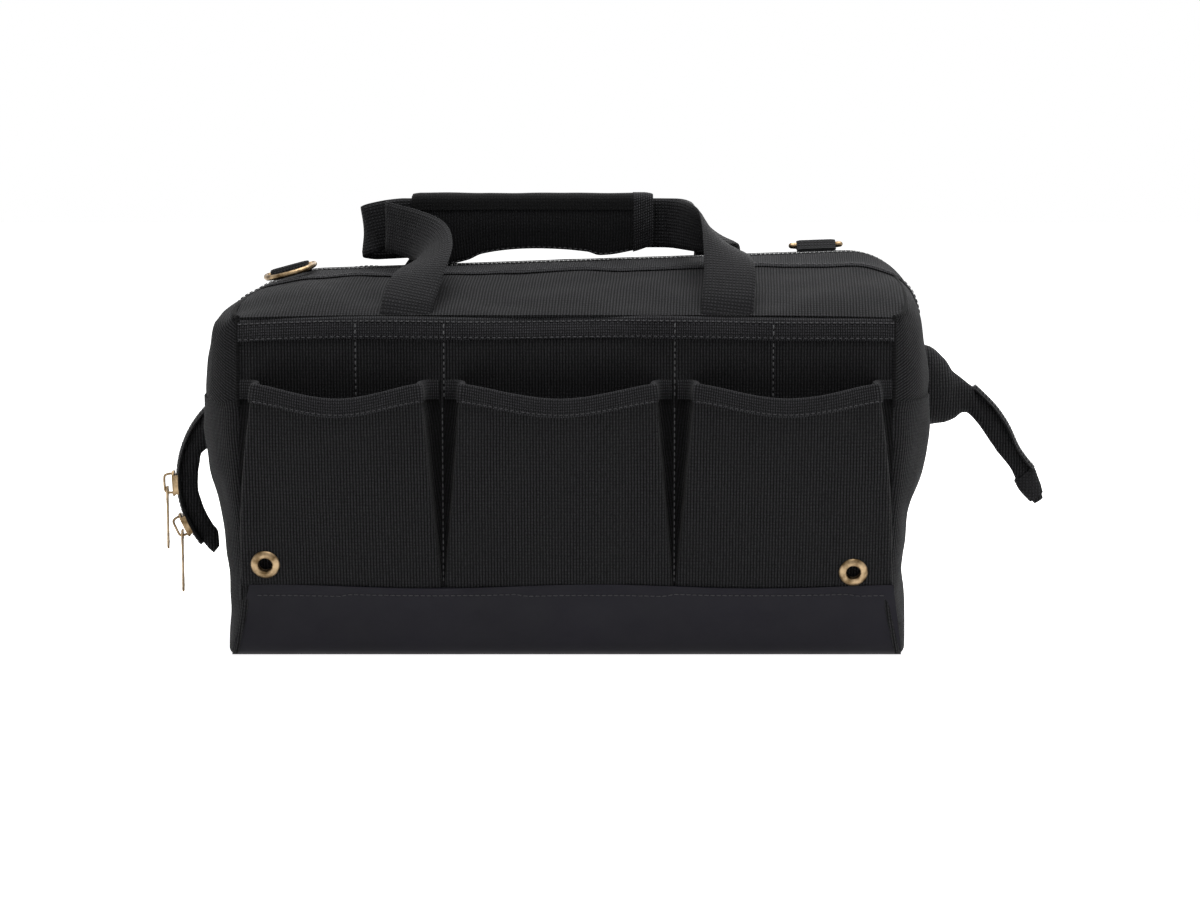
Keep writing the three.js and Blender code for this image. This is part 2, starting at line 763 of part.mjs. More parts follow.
// Height of the top of the zip tape at a place along the bag
function tapeTop(x) {
  const tops = line.map((station) => offsetPoint(station, tapeOffset + tapeThick));
  const i = tops.findIndex((top, n) => n > 0 && top[0] >= x);
  const [a, b] = [tops[i - 1], tops[i]];
  return a[1] + ((b[1] - a[1]) * (x - a[0])) / (b[0] - a[0]);
}

// Left tail: a curved strip about the arc's centre, with the zip on its outer edge
const leftTailRoot = -endFace(0, leftTailTop) - gap * 2;
const arcX = leftTailRoot - gap - leftTailRadius * Math.cos(radians(leftTailFrom));
const arcZ = leftTailTop - leftTailRadius * Math.sin(radians(leftTailFrom));

function arcPoint(radius, degrees) {
  return [arcX + radius * Math.cos(radians(degrees)), arcZ + radius * Math.sin(radians(degrees))];
}

function leftTail() {
  const outerRadius = leftTailRadius - tailChainThick;
  const innerRadius = outerRadius - leftTailWidth;
  const insideFrom = leftTailFrom + leftTailNeckTurn;
  const insideTo = leftTailTo - leftTailTipTurn;
  const outside = steps(leftTailFrom + tailChainTrim, leftTailTo, 8).map((d) => arcPoint(outerRadius, d));
  const inside = steps(insideFrom, insideTo, 6).map((d) => arcPoint(innerRadius, d)).reverse();
  const neckTop = leftTailTop - leftTailNeckDrop;
  const neck = [[leftTailRoot, neckTop - leftTailNeck], [leftTailRoot, neckTop]];
  return plateXZ([...outside, ...inside, ...neck], -tailThick * half, tailThick * half);
}

function leftTailChain() {
  const inner = leftTailRadius - tailChainThick + gap;
  const turns = steps(leftTailFrom + tailChainTrim, leftTailTo - tailChainTrim, 12);
  const outside = turns.map((d) => arcPoint(leftTailRadius, d));
  const inside = turns.map((d) => arcPoint(inner, d)).reverse();
  return plateXZ([...outside, ...inside], -tailChainWidth * half, tailChainWidth * half);
}

// Right tail: stands out from a folded shoulder and slants down
const rightTailRoot = endFace(0, hingeHeight) + rivetHeadThick + gap * 2;
const rightTailTip = [rightTailRoot + rightTailReach, rightTailTop - rightTailDrop];

function rightTail() {
  const [tipX, tipZ] = rightTailTip;
  const outline = [
    [rightTailRoot, rightTailFoot], [rightTailRoot, rightTailTop - gap],
    [rightTailRoot + rightTailShoulder, rightTailTop - rightTailShoulder],
    [tipX, tipZ + rightTailWidth], [tipX + tipSlant, tipZ], [tipX - tipCut, tipZ - tipSlant],
    [tipX - rightTailWidth, tipZ + rightTailWidth], [rightTailRoot + rightTailNeck, rightTailFoot + tipCut],
  ];
  return plateXZ(outline, -tailThick * half, tailThick * half);
}

function rightTailChain() {
  const from = [rightTailRoot + rightTailShoulder, rightTailTop - rightTailShoulder];
  const to = [rightTailTip[0], rightTailTip[1] + rightTailWidth];
  const run = Math.hypot(to[0] - from[0], to[1] - from[1]);
  const n = [(from[1] - to[1]) / run, (to[0] - from[0]) / run];
  const shifted = ([x, z], by) => [x + n[0] * by, z + n[1] * by];
  const outline = [
    shifted(from, gap), shifted(from, tailChainThick), shifted(to, tailChainThick), shifted(to, gap),
  ];
  return plateXZ(outline, -tailChainWidth * half, tailChainWidth * half);
}

// Slider drawn upright: the plate faces -X with its inner face at X = 0, and the crown arches out from it.
function slider() {
  const length = sliderLength * half;
  const width = sliderWidth * half;
  const plate = box(vector(-sliderPlate, -width, -length), vector(0, width, length));
  const flange = (side) => box(
    vector(-sliderPlate * half, side > 0 ? width - sliderPlate : -width, -length),
    vector(sliderFlange, side > 0 ? width : -width + sliderPlate, length),
  );
  const c = crownLength * half;
  const out = sliderPlate + crownInner + crownBar;
  const arch = plateXZ([
    [-sliderPlate * half, -c], [-sliderPlate * half, c], [-out + crownBar, c], [-out, c - crownBar],
    [-out, -c + crownBar], [-out + crownBar, -c],
  ], -crownWidth * half, crownWidth * half);
  const window = box(
    vector(-sliderPlate - crownInner, -crownWidth, -c + crownBar),
    vector(-sliderPlate, crownWidth, c - crownBar),
  );
  return join(plate, flange(1), flange(-1), cut(arch, window));
}

// Place of the crown's lower post, which the pull hangs on, in the slider's own frame
const pullSeat = vector(
  -sliderPlate - crownInner + pullThick * half + gap, 0, (crownBar - crownLength) * half,
);

function pull() {
  const top = pullEyeHeight * half + pullRim;
  const strip = box(
    vector(-pullThick * half, -pullWidth * half, -pullLength),
    vector(pullThick * half, pullWidth * half, top),
  );
  const side = crownWidth * half + pullEyeSlack;
  const eye = box(
    vector(-pullThick, -side, -pullEyeHeight * half),
    vector(pullThick, side, pullEyeHeight * half),
  );
  return cut(strip, eye);
}

function addSlider(name, turnDegrees) {
  const radius = leftTailRadius + gap;
  const [x, z] = arcPoint(radius, turnDegrees);
  const turn = radians(180 - turnDegrees);
  const rotation = new THREE.Euler(0, turn, 0);
  place(`${name}_slider`, slider(), brass, vector(x, 0, z), rotation);
  const seat = pullSeat.clone().applyEuler(rotation);
  place(`${name}_pull`, pull(), brass, vector(x + seat.x, 0, z + seat.z));
}

const halfTurn = new THREE.Euler(0, 0, Math.PI);

// Body
place('base_tray', baseTray(), coatedNavy);
place('base_board', baseBoard(), boardGrey);
place('right_end_wall', endWall(), canvasBlack);
place('left_end_wall', endWall(), canvasBlack, vector(0, 0, 0), halfTurn);

const seams = [-pocketOuterSeam, leftPocketSeam, rightPocketSeam, pocketOuterSeam];
const seamRoom = bindingThick + gap * 2;
const pockets = ['left', 'centre', 'right'].map((name, i) => ({
  name,
  left: seams[i] + seamRoom,
  right: seams[i + 1] - seamRoom,
}));
const spots = {
  left: pocketSpot(pockets[0].left, pockets[0].right, leftEyeletX, leftEyeletZ),
  right: pocketSpot(pockets[2].left, pockets[2].right, rightEyeletX, rightEyeletZ),
};

for (const side of ['front', 'back']) {
  const turned = (geometry) => (side === 'front' ? geometry : mirrored(geometry));
  place(`${side}_wall`, turned(wall()), canvasBlack);
  place(`${side}_roof`, turned(roof()), canvasBlack);
  place(`left_${side}_gusset`, turned(gusset(-1)), canvasBlack);
  place(`right_${side}_gusset`, turned(gusset(1)), canvasBlack);
  place(`${side}_slip_pocket`, turned(slipPocket()), canvasBlack);
  place(`${side}_slip_binding`, turned(slipBinding()), canvasBlack);
  for (const { name, left, right } of pockets) {
    const drilled = side === 'front' && spots[name];
    const shape = drilled ? cut(pocket(left, right), eyeletHole(spots[name])) : pocket(left, right);
    place(`${side}_pocket_${name}`, turned(shape), canvasBlack);
    place(`${side}_binding_${name}`, turned(pocketBinding(left, right)), canvasBlack);
  }
  for (const [name, x] of [['left', -handleSpacing * half], ['right', handleSpacing * half]]) {
    const y = side === 'front' ? -legY : legY;
    place(`${side}_${name}_strap_leg`, strapLeg(), webbingBlack, vector(x, y, 0));
  }
}
for (const [name, { at, turn }] of Object.entries(spots)) place(`${name}_eyelet`, eyelet(), brass, at, turn);

// Mouth: frame rods, rivets, and the two halves of the zip
const innerEyeX = frameX - eyeThick - gap;
place('right_hinge_rivet', rivet(), steel, vector(0, 0, hingeHeight));
place('left_hinge_rivet', rivet(), steel, vector(0, 0, hingeHeight), halfTurn);
const tapeInner = rodOffset - tapeWidth * half;
for (const side of ['front', 'back']) {
  const turned = (geometry) => (side === 'front' ? geometry : mirrored(geometry));
  place(`${side}_frame_rod`, turned(frameRod(side === 'front' ? frameX : innerEyeX)), steel);
  const tape = mouthBand(tapeOffset, tapeOffset + tapeThick, -tapeInner - tapeWidth, -tapeInner);
  const teeth = mouthBand(chainOffset, chainOffset + teethThick, -meshGap - teethWidth, -meshGap);
  place(`${side}_zip_tape`, turned(asGeometry(asSolid(tape))), webbingBlack);
  place(`${side}_zip_teeth`, turned(asGeometry(asSolid(teeth))), teethBlack);
}

// Handles and grip
const strap = webbing(handleStations(), webWidth, webThick);
place('front_handle_strap', strap, webbingBlack);
place('back_handle_strap', mirrored(strap), webbingBlack);
place('grip_back', gripBack(), canvasBlack);
place('grip_pad', gripPad(), foamGrey);
place('grip_flap', gripFlap(), canvasBlack);

// D-rings: the left one on the front edge of the zip, the right one on the back edge
const rings = [['front', leftRingX, leftRingTilt, 1], ['back', rightRingX, rightRingTilt, -1]];
for (const [side, x, tilt, way] of rings) {
  const at = vector(x, -way * ringFromZip, tapeTop(x) + ringLift + gap * 2);
  const turn = new THREE.Euler(0, -radians(tilt), way > 0 ? 0 : Math.PI);
  const droop = new THREE.Matrix4().makeRotationX(radians(ringDroop));
  place(`${side}_ring_tab`, ringTab(), webbingBlack, at, turn);
  place(`${side}_d_ring`, ring().applyMatrix4(droop), brass, at, turn);
}

// Tails, sliders and pulls
place('left_tail', leftTail(), canvasBlack);
place('left_tail_chain', leftTailChain(), teethBlack);
place('right_tail', rightTail(), canvasBlack);
place('right_tail_chain', rightTailChain(), teethBlack);
addSlider('upper', upperSliderTurn);
addSlider('lower', lowerSliderTurn);

export default bag;
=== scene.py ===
import json
import math
import bpy
import numpy as np
from mathutils import Matrix, Vector, noise
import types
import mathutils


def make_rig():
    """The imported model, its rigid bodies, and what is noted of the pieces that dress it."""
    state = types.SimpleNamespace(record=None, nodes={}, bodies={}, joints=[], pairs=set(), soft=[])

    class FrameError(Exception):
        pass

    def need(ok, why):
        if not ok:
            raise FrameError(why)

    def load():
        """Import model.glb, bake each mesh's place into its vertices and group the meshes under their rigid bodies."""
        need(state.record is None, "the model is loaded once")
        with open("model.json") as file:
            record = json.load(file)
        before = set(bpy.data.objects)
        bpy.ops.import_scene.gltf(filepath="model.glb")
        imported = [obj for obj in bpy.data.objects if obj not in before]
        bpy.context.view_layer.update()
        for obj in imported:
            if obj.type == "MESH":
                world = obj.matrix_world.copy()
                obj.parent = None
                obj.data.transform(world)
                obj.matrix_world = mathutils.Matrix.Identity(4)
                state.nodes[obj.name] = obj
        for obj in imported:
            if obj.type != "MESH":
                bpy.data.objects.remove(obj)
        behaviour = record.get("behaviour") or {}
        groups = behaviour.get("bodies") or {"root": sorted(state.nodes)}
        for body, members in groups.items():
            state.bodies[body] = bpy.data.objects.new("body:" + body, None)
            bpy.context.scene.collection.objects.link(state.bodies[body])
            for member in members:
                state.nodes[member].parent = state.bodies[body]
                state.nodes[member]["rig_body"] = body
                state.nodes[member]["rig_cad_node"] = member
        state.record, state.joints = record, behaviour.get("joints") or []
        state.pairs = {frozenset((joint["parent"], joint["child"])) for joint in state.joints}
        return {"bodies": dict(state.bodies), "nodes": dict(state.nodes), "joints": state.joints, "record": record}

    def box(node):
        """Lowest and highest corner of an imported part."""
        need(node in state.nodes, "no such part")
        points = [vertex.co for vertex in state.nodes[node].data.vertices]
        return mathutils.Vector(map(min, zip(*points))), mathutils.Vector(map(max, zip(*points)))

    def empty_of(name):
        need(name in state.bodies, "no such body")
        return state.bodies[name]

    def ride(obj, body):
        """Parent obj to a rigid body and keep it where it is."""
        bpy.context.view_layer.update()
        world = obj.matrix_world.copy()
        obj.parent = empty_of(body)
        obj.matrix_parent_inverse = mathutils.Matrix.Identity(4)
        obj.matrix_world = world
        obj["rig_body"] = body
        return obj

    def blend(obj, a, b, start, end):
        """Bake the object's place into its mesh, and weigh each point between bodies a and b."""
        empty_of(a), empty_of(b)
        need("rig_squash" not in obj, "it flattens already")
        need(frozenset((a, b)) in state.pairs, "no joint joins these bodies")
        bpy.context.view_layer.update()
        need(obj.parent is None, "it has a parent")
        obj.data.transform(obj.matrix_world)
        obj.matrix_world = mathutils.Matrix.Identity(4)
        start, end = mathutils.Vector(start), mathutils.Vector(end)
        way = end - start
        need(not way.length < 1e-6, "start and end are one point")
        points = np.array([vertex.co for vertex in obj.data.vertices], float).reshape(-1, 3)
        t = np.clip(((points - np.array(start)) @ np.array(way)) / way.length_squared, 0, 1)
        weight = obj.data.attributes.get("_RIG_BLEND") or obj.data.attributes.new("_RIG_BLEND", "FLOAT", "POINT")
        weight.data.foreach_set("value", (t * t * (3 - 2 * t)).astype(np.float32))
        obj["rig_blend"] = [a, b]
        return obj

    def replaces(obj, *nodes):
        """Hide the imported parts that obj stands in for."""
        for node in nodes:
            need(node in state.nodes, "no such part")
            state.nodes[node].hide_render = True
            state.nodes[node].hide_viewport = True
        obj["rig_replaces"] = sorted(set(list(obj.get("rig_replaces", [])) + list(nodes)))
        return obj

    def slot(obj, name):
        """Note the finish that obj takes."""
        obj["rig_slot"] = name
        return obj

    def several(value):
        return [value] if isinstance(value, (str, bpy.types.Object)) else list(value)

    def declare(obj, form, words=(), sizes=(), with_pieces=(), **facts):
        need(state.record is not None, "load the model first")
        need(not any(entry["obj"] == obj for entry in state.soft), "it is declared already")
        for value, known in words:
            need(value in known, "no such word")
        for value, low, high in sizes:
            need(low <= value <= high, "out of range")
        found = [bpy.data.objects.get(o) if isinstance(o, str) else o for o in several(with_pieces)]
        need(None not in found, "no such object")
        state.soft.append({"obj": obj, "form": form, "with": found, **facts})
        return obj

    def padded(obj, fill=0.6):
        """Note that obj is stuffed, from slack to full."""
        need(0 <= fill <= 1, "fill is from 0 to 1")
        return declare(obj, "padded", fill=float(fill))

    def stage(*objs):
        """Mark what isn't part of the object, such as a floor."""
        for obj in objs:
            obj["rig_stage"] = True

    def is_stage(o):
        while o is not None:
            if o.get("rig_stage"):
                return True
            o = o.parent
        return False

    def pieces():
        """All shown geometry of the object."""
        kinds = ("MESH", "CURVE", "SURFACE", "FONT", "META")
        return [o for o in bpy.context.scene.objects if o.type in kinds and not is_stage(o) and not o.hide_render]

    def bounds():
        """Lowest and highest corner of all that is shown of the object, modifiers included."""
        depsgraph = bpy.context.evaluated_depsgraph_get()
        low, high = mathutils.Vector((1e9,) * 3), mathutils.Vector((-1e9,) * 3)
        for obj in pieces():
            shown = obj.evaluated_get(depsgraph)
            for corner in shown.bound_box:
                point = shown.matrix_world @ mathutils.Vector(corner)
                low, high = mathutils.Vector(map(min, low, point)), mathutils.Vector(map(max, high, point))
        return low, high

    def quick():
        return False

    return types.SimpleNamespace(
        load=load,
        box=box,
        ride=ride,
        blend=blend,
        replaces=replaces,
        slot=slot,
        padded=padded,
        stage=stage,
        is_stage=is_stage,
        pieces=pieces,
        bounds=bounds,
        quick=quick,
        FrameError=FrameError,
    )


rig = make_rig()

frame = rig.load()
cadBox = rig.bounds()
mm = 0.001

# Camera and light

shot = {"lens": 85, "place": (0.020, -1.774, 0.328), "target": (0.020, -0.114, 0.1245)}


def addCamera():
    bpy.ops.object.camera_add(location=shot["place"])
    camera = bpy.context.object
    camera.name = "camera"
    camera.data.lens = shot["lens"]
    camera.rotation_euler = (Vector(shot["target"]) - camera.location).to_track_quat("-Z", "Y").to_euler()
    bpy.context.scene.camera = camera


def addLamp(name, place, target, size, energy):
    bpy.ops.object.light_add(type="AREA", location=place)
    lamp = bpy.context.object
    lamp.name = name
    lamp.data.size = size
    lamp.data.energy = energy
    lamp.rotation_euler = (Vector(target) - lamp.location).to_track_quat("-Z", "Y").to_euler()


# Name, place, target, size in metres and power in watts
lamps = (
    ("topLight", (0.1, -0.12, 1.7), (0, 0, 0.15), 1.4, 47),
    ("frontLight", (-0.9, -1.9, 1.0), (0, 0, 0.12), 1.2, 1.4),
    ("rightLight", (1.7, -0.7, 0.8), (0, 0, 0.12), 1.0, 2.8),
    ("backLight", (0.4, 1.8, 1.1), (0, 0, 0.15), 1.2, 14),
)
addCamera()
for lamp in lamps:
    addLamp(*lamp)
bpy.context.scene.view_settings.view_transform = "Standard"


# Materials. Weaves read their piece's UV map, which is in millimetres, and the rest read metres

add = {"operation": "ADD"}
multiply = {"operation": "MULTIPLY"}
absolute = {"operation": "ABSOLUTE"}
greater = {"operation": "MAXIMUM"}
colourMix = {"data_type": "RGBA"}


def linear(hexColour):
    channels = [int(hexColour[i:i + 2], 16) / 255 for i in (1, 3, 5)]
    return [c / 12.92 if c <= 0.04045 else ((c + 0.055) / 1.055) ** 2.4 for c in channels] + [1]


# An input takes a number, a hex colour, a socket, or the first output of a node
def setInputs(tree, node, inputs):
    for key, value in inputs.items():
        if isinstance(value, bpy.types.Node):
            value = value.outputs[0]
        if isinstance(value, bpy.types.NodeSocket):
            tree.links.new(value, node.inputs[key])
        else:
            node.inputs[key].default_value = linear(value) if isinstance(value, str) else value


def addNode(tree, kind, settings=None, inputs=None):
    node = tree.nodes.new("ShaderNode" + kind)
    for key, value in (settings or {}).items():
        setattr(node, key, value)
    setInputs(tree, node, inputs or {})
    return node


def newMaterial(name, inputs):
    material = bpy.data.materials.new(name)
    material.use_nodes = True
    shader = material.node_tree.nodes["Principled BSDF"]
    setInputs(material.node_tree, shader, inputs)
    return material, material.node_tree, shader


# Woven cloth: waves across the warp and the weft make its ribs and cells, with lint and faded patches. Raised threads
# take the light colour and the hollows between them the dark one, partly the weave's own look and partly painted shade
def wovenMaterial(name, look):
    material, tree, shader = newMaterial(name, {
        "Roughness": look["roughness"], "Sheen Weight": look["sheen"], "Sheen Roughness": 0.45,
        "Specular IOR Level": look["gloss"]})
    spot = addNode(tree, "TexCoord").outputs["UV"]
    axes = addNode(tree, "SeparateXYZ", None, {0: spot})
    uneven = addNode(tree, "TexNoise", None, {"Vector": spot, "Scale": 0.35, "Detail": 3.0})
    lint = addNode(tree, "TexNoise", None, {"Vector": spot, "Scale": 1.1, "Detail": 4.0})
    patches = addNode(tree, "TexNoise", None, {"Vector": spot, "Scale": 0.018, "Detail": 2.0})
    wobble = addNode(tree, "Math", multiply, {0: uneven, 1: look["wobble"]})

    def threadWave(axis, spacing):
        along = addNode(tree, "Math", add, {0: axes.outputs[axis], 1: wobble})
        turn = addNode(tree, "Math", multiply, {0: along, 1: math.pi / spacing})
        return addNode(tree, "Math", {"operation": "SINE"}, {0: turn})

    warp = threadWave("X", look["warp"])
    weft = threadWave("Y", look["weft"])
    ribs = addNode(tree, "Math", absolute, {0: warp})
    cells = addNode(tree, "Math", multiply, {0: warp, 1: weft})
    cells = addNode(tree, "Math", absolute, {0: cells})
    ribs = addNode(tree, "Math", multiply, {0: ribs, 1: look["rib"]})
    cells = addNode(tree, "Math", multiply, {0: cells, 1: 1 - look["rib"]})
    height = addNode(tree, "Math", add, {0: ribs, 1: cells})
    # Thread height sets the colour: the hollows between threads are painted shade
    raised = addNode(tree, "MapRange", None, {0: height, 1: 0.3, 2: 0.92})
    specks = addNode(tree, "MapRange", None, {0: lint, 1: 0.3, 2: 0.7})
    specks = addNode(tree, "Math", multiply, {0: specks, 1: 0.7})
    specks = addNode(tree, "Math", add, {0: specks, 1: 0.3})
    share = addNode(tree, "Math", multiply, {0: raised, 1: specks})
    colour = addNode(tree, "Mix", colourMix, {0: share, 6: look["dark"], 7: look["light"]}).outputs[2]
    faded = addNode(tree, "Math", multiply, {0: patches, 1: look["fade"]})
    colour = addNode(tree, "Mix", colourMix, {0: faded, 6: colour, 7: look["worn"]}).outputs[2]
    bump = addNode(tree, "Bump", None, {
        "Strength": look["bump"], "Distance": look["relief"] * mm, "Height": share})
    setInputs(tree, shader, {"Base Color": colour, "Normal": bump})
    return material


# Cotton duck: matt, with a fine vertical rib. Its threads are about 0.8 mm apart, too fine to show, so
# they are drawn 1.8 mm apart
# The near black dark colour is painted shade in the hollows between the threads
duck = {
    "warp": 1.8, "weft": 2.1, "rib": 0.72, "wobble": 0.4, "roughness": 0.92, "sheen": 0.03, "gloss": 0.12,
    "dark": "#010101", "light": "#3c3c3e", "worn": "#1b1b1d", "fade": 0.25, "bump": 1.0, "relief": 0.7,
}
canvas = wovenMaterial("cottonDuck", duck)
# The inside, the pleats and the seam piping are the same cloth with less light on it, as painted shade
shadedDuck = wovenMaterial("cottonDuckInShade", {**duck, "light": "#1a1a1c", "worn": "#101011"})
# Folded binding tape: a coarser rib, drawn lighter than the bag's cloth all over, partly the tape's own frayed tone
# and partly painted highlight for its folds, which catch the light
bindingLook = {
    **duck, "warp": 1.4, "weft": 1.7, "rib": 0.35, "light": "#49494c", "worn": "#2f2f31", "fade": 0.35,
}
bindingCloth = wovenMaterial("ribbedBinding", bindingLook)
# Polypropylene webbing: a coarse basket weave of 2 mm cells with a slight sheen
basket = {
    "warp": 2.0, "weft": 2.0, "rib": 0.1, "wobble": 0.2, "roughness": 0.75, "sheen": 0.02, "gloss": 0.16,
    "dark": "#020203", "light": "#2a2a2d", "worn": "#161618", "fade": 0.3, "bump": 1.0, "relief": 0.9,
}
webbing = wovenMaterial("basketWebbing", basket)
# The grip's wrap is darker than the bag, and the strip along its top is nearly black
wrapCloth = wovenMaterial("gripCloth", {**duck, "light": "#252527", "worn": "#141416"})
stripCloth = wovenMaterial("gripStripCloth", {**duck, "light": "#101011", "worn": "#0a0a0b"})
# Zip tape: a tight, flat weave, drawn at about 1 mm to show
tapeLook = {**duck, "warp": 0.9, "weft": 1.1, "rib": 0.6, "light": "#2f2f31", "roughness": 0.85, "bump": 0.6}
zipTape = wovenMaterial("wovenZipTape", tapeLook)


# Coated nylon: very dark blue, smooth, with soft dents and a fine cloth grain under the coat. Dents, scuffs
# and grain are counted a metre, which makes them about 70, 17 and 0.7 mm wide
coat = {
    "dark": "#06050b", "light": "#100e18", "roughness": 0.46, "gloss": 0.14, "dents": 14.0, "scuffs": 60.0,
    "grain": 1500.0, "smoothest": 0.36, "scuffing": 0.22, "grainShare": 0.05, "bump": 0.5, "relief": 2.2,
}


def coatedMaterial():
    material, tree, shader = newMaterial("coatedNylon", {
        "Roughness": coat["roughness"], "Specular IOR Level": coat["gloss"]})
    spot = addNode(tree, "TexCoord").outputs["Object"]
    dents = addNode(tree, "TexNoise", None, {"Vector": spot, "Scale": coat["dents"], "Detail": 2.0})
    fine = addNode(tree, "TexNoise", None, {"Vector": spot, "Scale": coat["grain"], "Detail": 2.0})
    scuffs = addNode(tree, "TexNoise", None, {"Vector": spot, "Scale": coat["scuffs"], "Detail": 3.0})
    colour = addNode(tree, "Mix", colourMix, {0: dents, 6: coat["dark"], 7: coat["light"]}).outputs[2]
    scuffs = addNode(tree, "Math", multiply, {0: scuffs, 1: coat["scuffing"]})
    rough = addNode(tree, "Math", add, {0: scuffs, 1: coat["smoothest"]})
    fine = addNode(tree, "Math", multiply, {0: fine, 1: coat["grainShare"]})
    height = addNode(tree, "Math", add, {0: dents, 1: fine})
    bump = addNode(tree, "Bump", None, {
        "Strength": coat["bump"], "Distance": coat["relief"] * mm, "Height": height})
    setInputs(tree, shader, {"Base Color": colour, "Roughness": rough, "Normal": bump})
    return material


# Plated metal: brighter where it is rubbed, darker in the patches that tarnish. Counted a metre, which makes
# patches about 5 mm wide, scuffs 1.4 mm and pits 0.8 mm
metal = {"patches": 190.0, "scuffs": 700.0, "pits": 1300.0, "scuffing": 0.18, "bump": 0.35}


def metalMaterial(name, bright, dull, roughness, relief):
    material, tree, shader = newMaterial(name, {"Metallic": 1.0})
    spot = addNode(tree, "TexCoord").outputs["Object"]
    patches = addNode(tree, "TexNoise", None, {"Vector": spot, "Scale": metal["patches"], "Detail": 4.0})
    scuffs = addNode(tree, "TexNoise", None, {"Vector": spot, "Scale": metal["scuffs"], "Detail": 3.0})
    pits = addNode(tree, "TexNoise", None, {"Vector": spot, "Scale": metal["pits"], "Detail": 2.0})
    patches = addNode(tree, "MapRange", None, {0: patches, 1: 0.35, 2: 0.65})
    colour = addNode(tree, "Mix", colourMix, {0: patches, 6: dull, 7: bright}).outputs[2]
    scuffs = addNode(tree, "Math", multiply, {0: scuffs, 1: metal["scuffing"]})
    rough = addNode(tree, "Math", add, {0: scuffs, 1: roughness})
    bump = addNode(tree, "Bump", None, {
        "Strength": metal["bump"], "Distance": relief * mm, "Height": pits})
    setInputs(tree, shader, {"Base Color": colour, "Roughness": rough, "Normal": bump})
    return material


# Moulded or sheet plastic: a fine grain in the colour and in the surface
def mouldedMaterial(name, dark, light, roughness, perMetre, relief):
    material, tree, shader = newMaterial(name, {"Roughness": roughness})
    spot = addNode(tree, "TexCoord").outputs["Object"]
    speckle = addNode(tree, "TexNoise", None, {"Vector": spot, "Scale": perMetre, "Detail": 3.0})
    colour = addNode(tree, "Mix", colourMix, {0: speckle, 6: dark, 7: light}).outputs[2]
    bump = addNode(tree, "Bump", None, {"Strength": 0.5, "Distance": relief * mm, "Height": speckle})
    setInputs(tree, shader, {"Base Color": colour, "Normal": bump})
    return material


coated = coatedMaterial()
# Dull gold that has browned in its patches, and bright grey
brass = metalMaterial("antiqueBrass", "#a08a6c", "#57462f", 0.32, 0.05)
steel = metalMaterial("platedSteel", "#b4b4b2", "#7d7d7c", 0.3, 0.04)
# Moulded acetal has a soft shine, and board and foam have none
acetal = mouldedMaterial("mouldedTeeth", "#0b0b0c", "#242426", 0.42, 900.0, 0.04)
boardSheet = mouldedMaterial("stiffBoard", "#161617", "#2a2a2c", 0.75, 450.0, 0.15)
foam = mouldedMaterial("openCellFoam", "#232325", "#343437", 0.95, 2200.0, 0.4)
# Polyester thread: grey on the pockets, nearly black on the coat and the bindings
thread = mouldedMaterial("sewingThread", "#2c2c2d", "#606062", 0.7, 1800.0, 0.1)
threadDark = mouldedMaterial("bondedThread", "#0a0a0c", "#1c1b20", 0.6, 1800.0, 0.1)


# The floor and the sky look white to the camera and light the bag less than they seem to
stage = {"size": 12, "drop": 0.0004, "glow": 0.975, "seenSky": 0.945, "skyLight": 0.055}


def addStage():
    bpy.ops.mesh.primitive_plane_add(size=stage["size"], location=(0, 0, -stage["drop"]))
    floor = bpy.context.object
    floor.name = "floor"
    material, tree, shader = newMaterial("paleFloor", {"Roughness": 0.9, "Base Color": "#f4f4f4"})
    ray = addNode(tree, "LightPath").outputs
    seen = addNode(tree, "Math", greater, {0: ray["Is Camera Ray"], 1: ray["Is Glossy Ray"]})
    glow = addNode(tree, "Emission", None, {"Color": "#ffffff", "Strength": stage["glow"]})
    both = addNode(tree, "AddShader", None, {0: shader, 1: glow})
    mix = addNode(tree, "MixShader", None, {0: seen, 1: shader, 2: both})
    setInputs(tree, tree.nodes["Material Output"], {"Surface": mix})
    floor.data.materials.append(material)
    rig.stage(floor)
    world = bpy.data.worlds.new("studio")
    world.use_nodes = True
    bpy.context.scene.world = world
    sky = world.node_tree
    ray = addNode(sky, "LightPath").outputs
    seen = addNode(sky, "Math", greater, {0: ray["Is Camera Ray"], 1: ray["Is Glossy Ray"]})
    seen = addNode(sky, "Math", greater, {0: seen, 1: ray["Is Transmission Ray"]})
    strength = addNode(sky, "Math", multiply, {0: seen, 1: stage["seenSky"]})
    strength = addNode(sky, "Math", add, {0: strength, 1: stage["skyLight"]})
    setInputs(sky, sky.nodes["Background"], {"Color": "#ffffff", "Strength": strength})


addStage()
print("stage, lights and materials are ready")


# General modelling


def deselectAll():
    if bpy.context.object and bpy.context.object.mode != "OBJECT":
        bpy.ops.object.mode_set(mode="OBJECT")
    bpy.ops.object.select_all(action="DESELECT")


def takeUp(piece):
    deselectAll()
    piece.select_set(True)
    bpy.context.view_layer.objects.active = piece


def applyModifier(piece, kind, **settings):
    takeUp(piece)
    modifier = piece.modifiers.new(kind.lower(), kind)
    for key, value in settings.items():
        setattr(modifier, key, value)
    bpy.ops.object.modifier_apply(modifier=modifier.name)


def smooth(piece, angle=50):
    takeUp(piece)
    bpy.ops.object.shade_smooth_by_angle(angle=math.radians(angle))


def settle(piece):
    takeUp(piece)
    bpy.ops.object.transform_apply(location=True, rotation=True, scale=True)


def finish(piece, material, slot, body=None, nodes=()):
    piece.data.materials.clear()
    piece.data.materials.append(material)
    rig.slot(piece, slot)
    if nodes:
        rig.replaces(piece, *nodes)
    if body:
        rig.ride(piece, body)
    return piece


# A mesh from points in millimetres
def meshPiece(name, points, faces, edges=()):
    mesh = bpy.data.meshes.new(name)
    mesh.from_pydata([p * mm for p in points], edges, faces)
    piece = bpy.data.objects.new(name, mesh)
    bpy.context.scene.collection.objects.link(piece)
    return piece


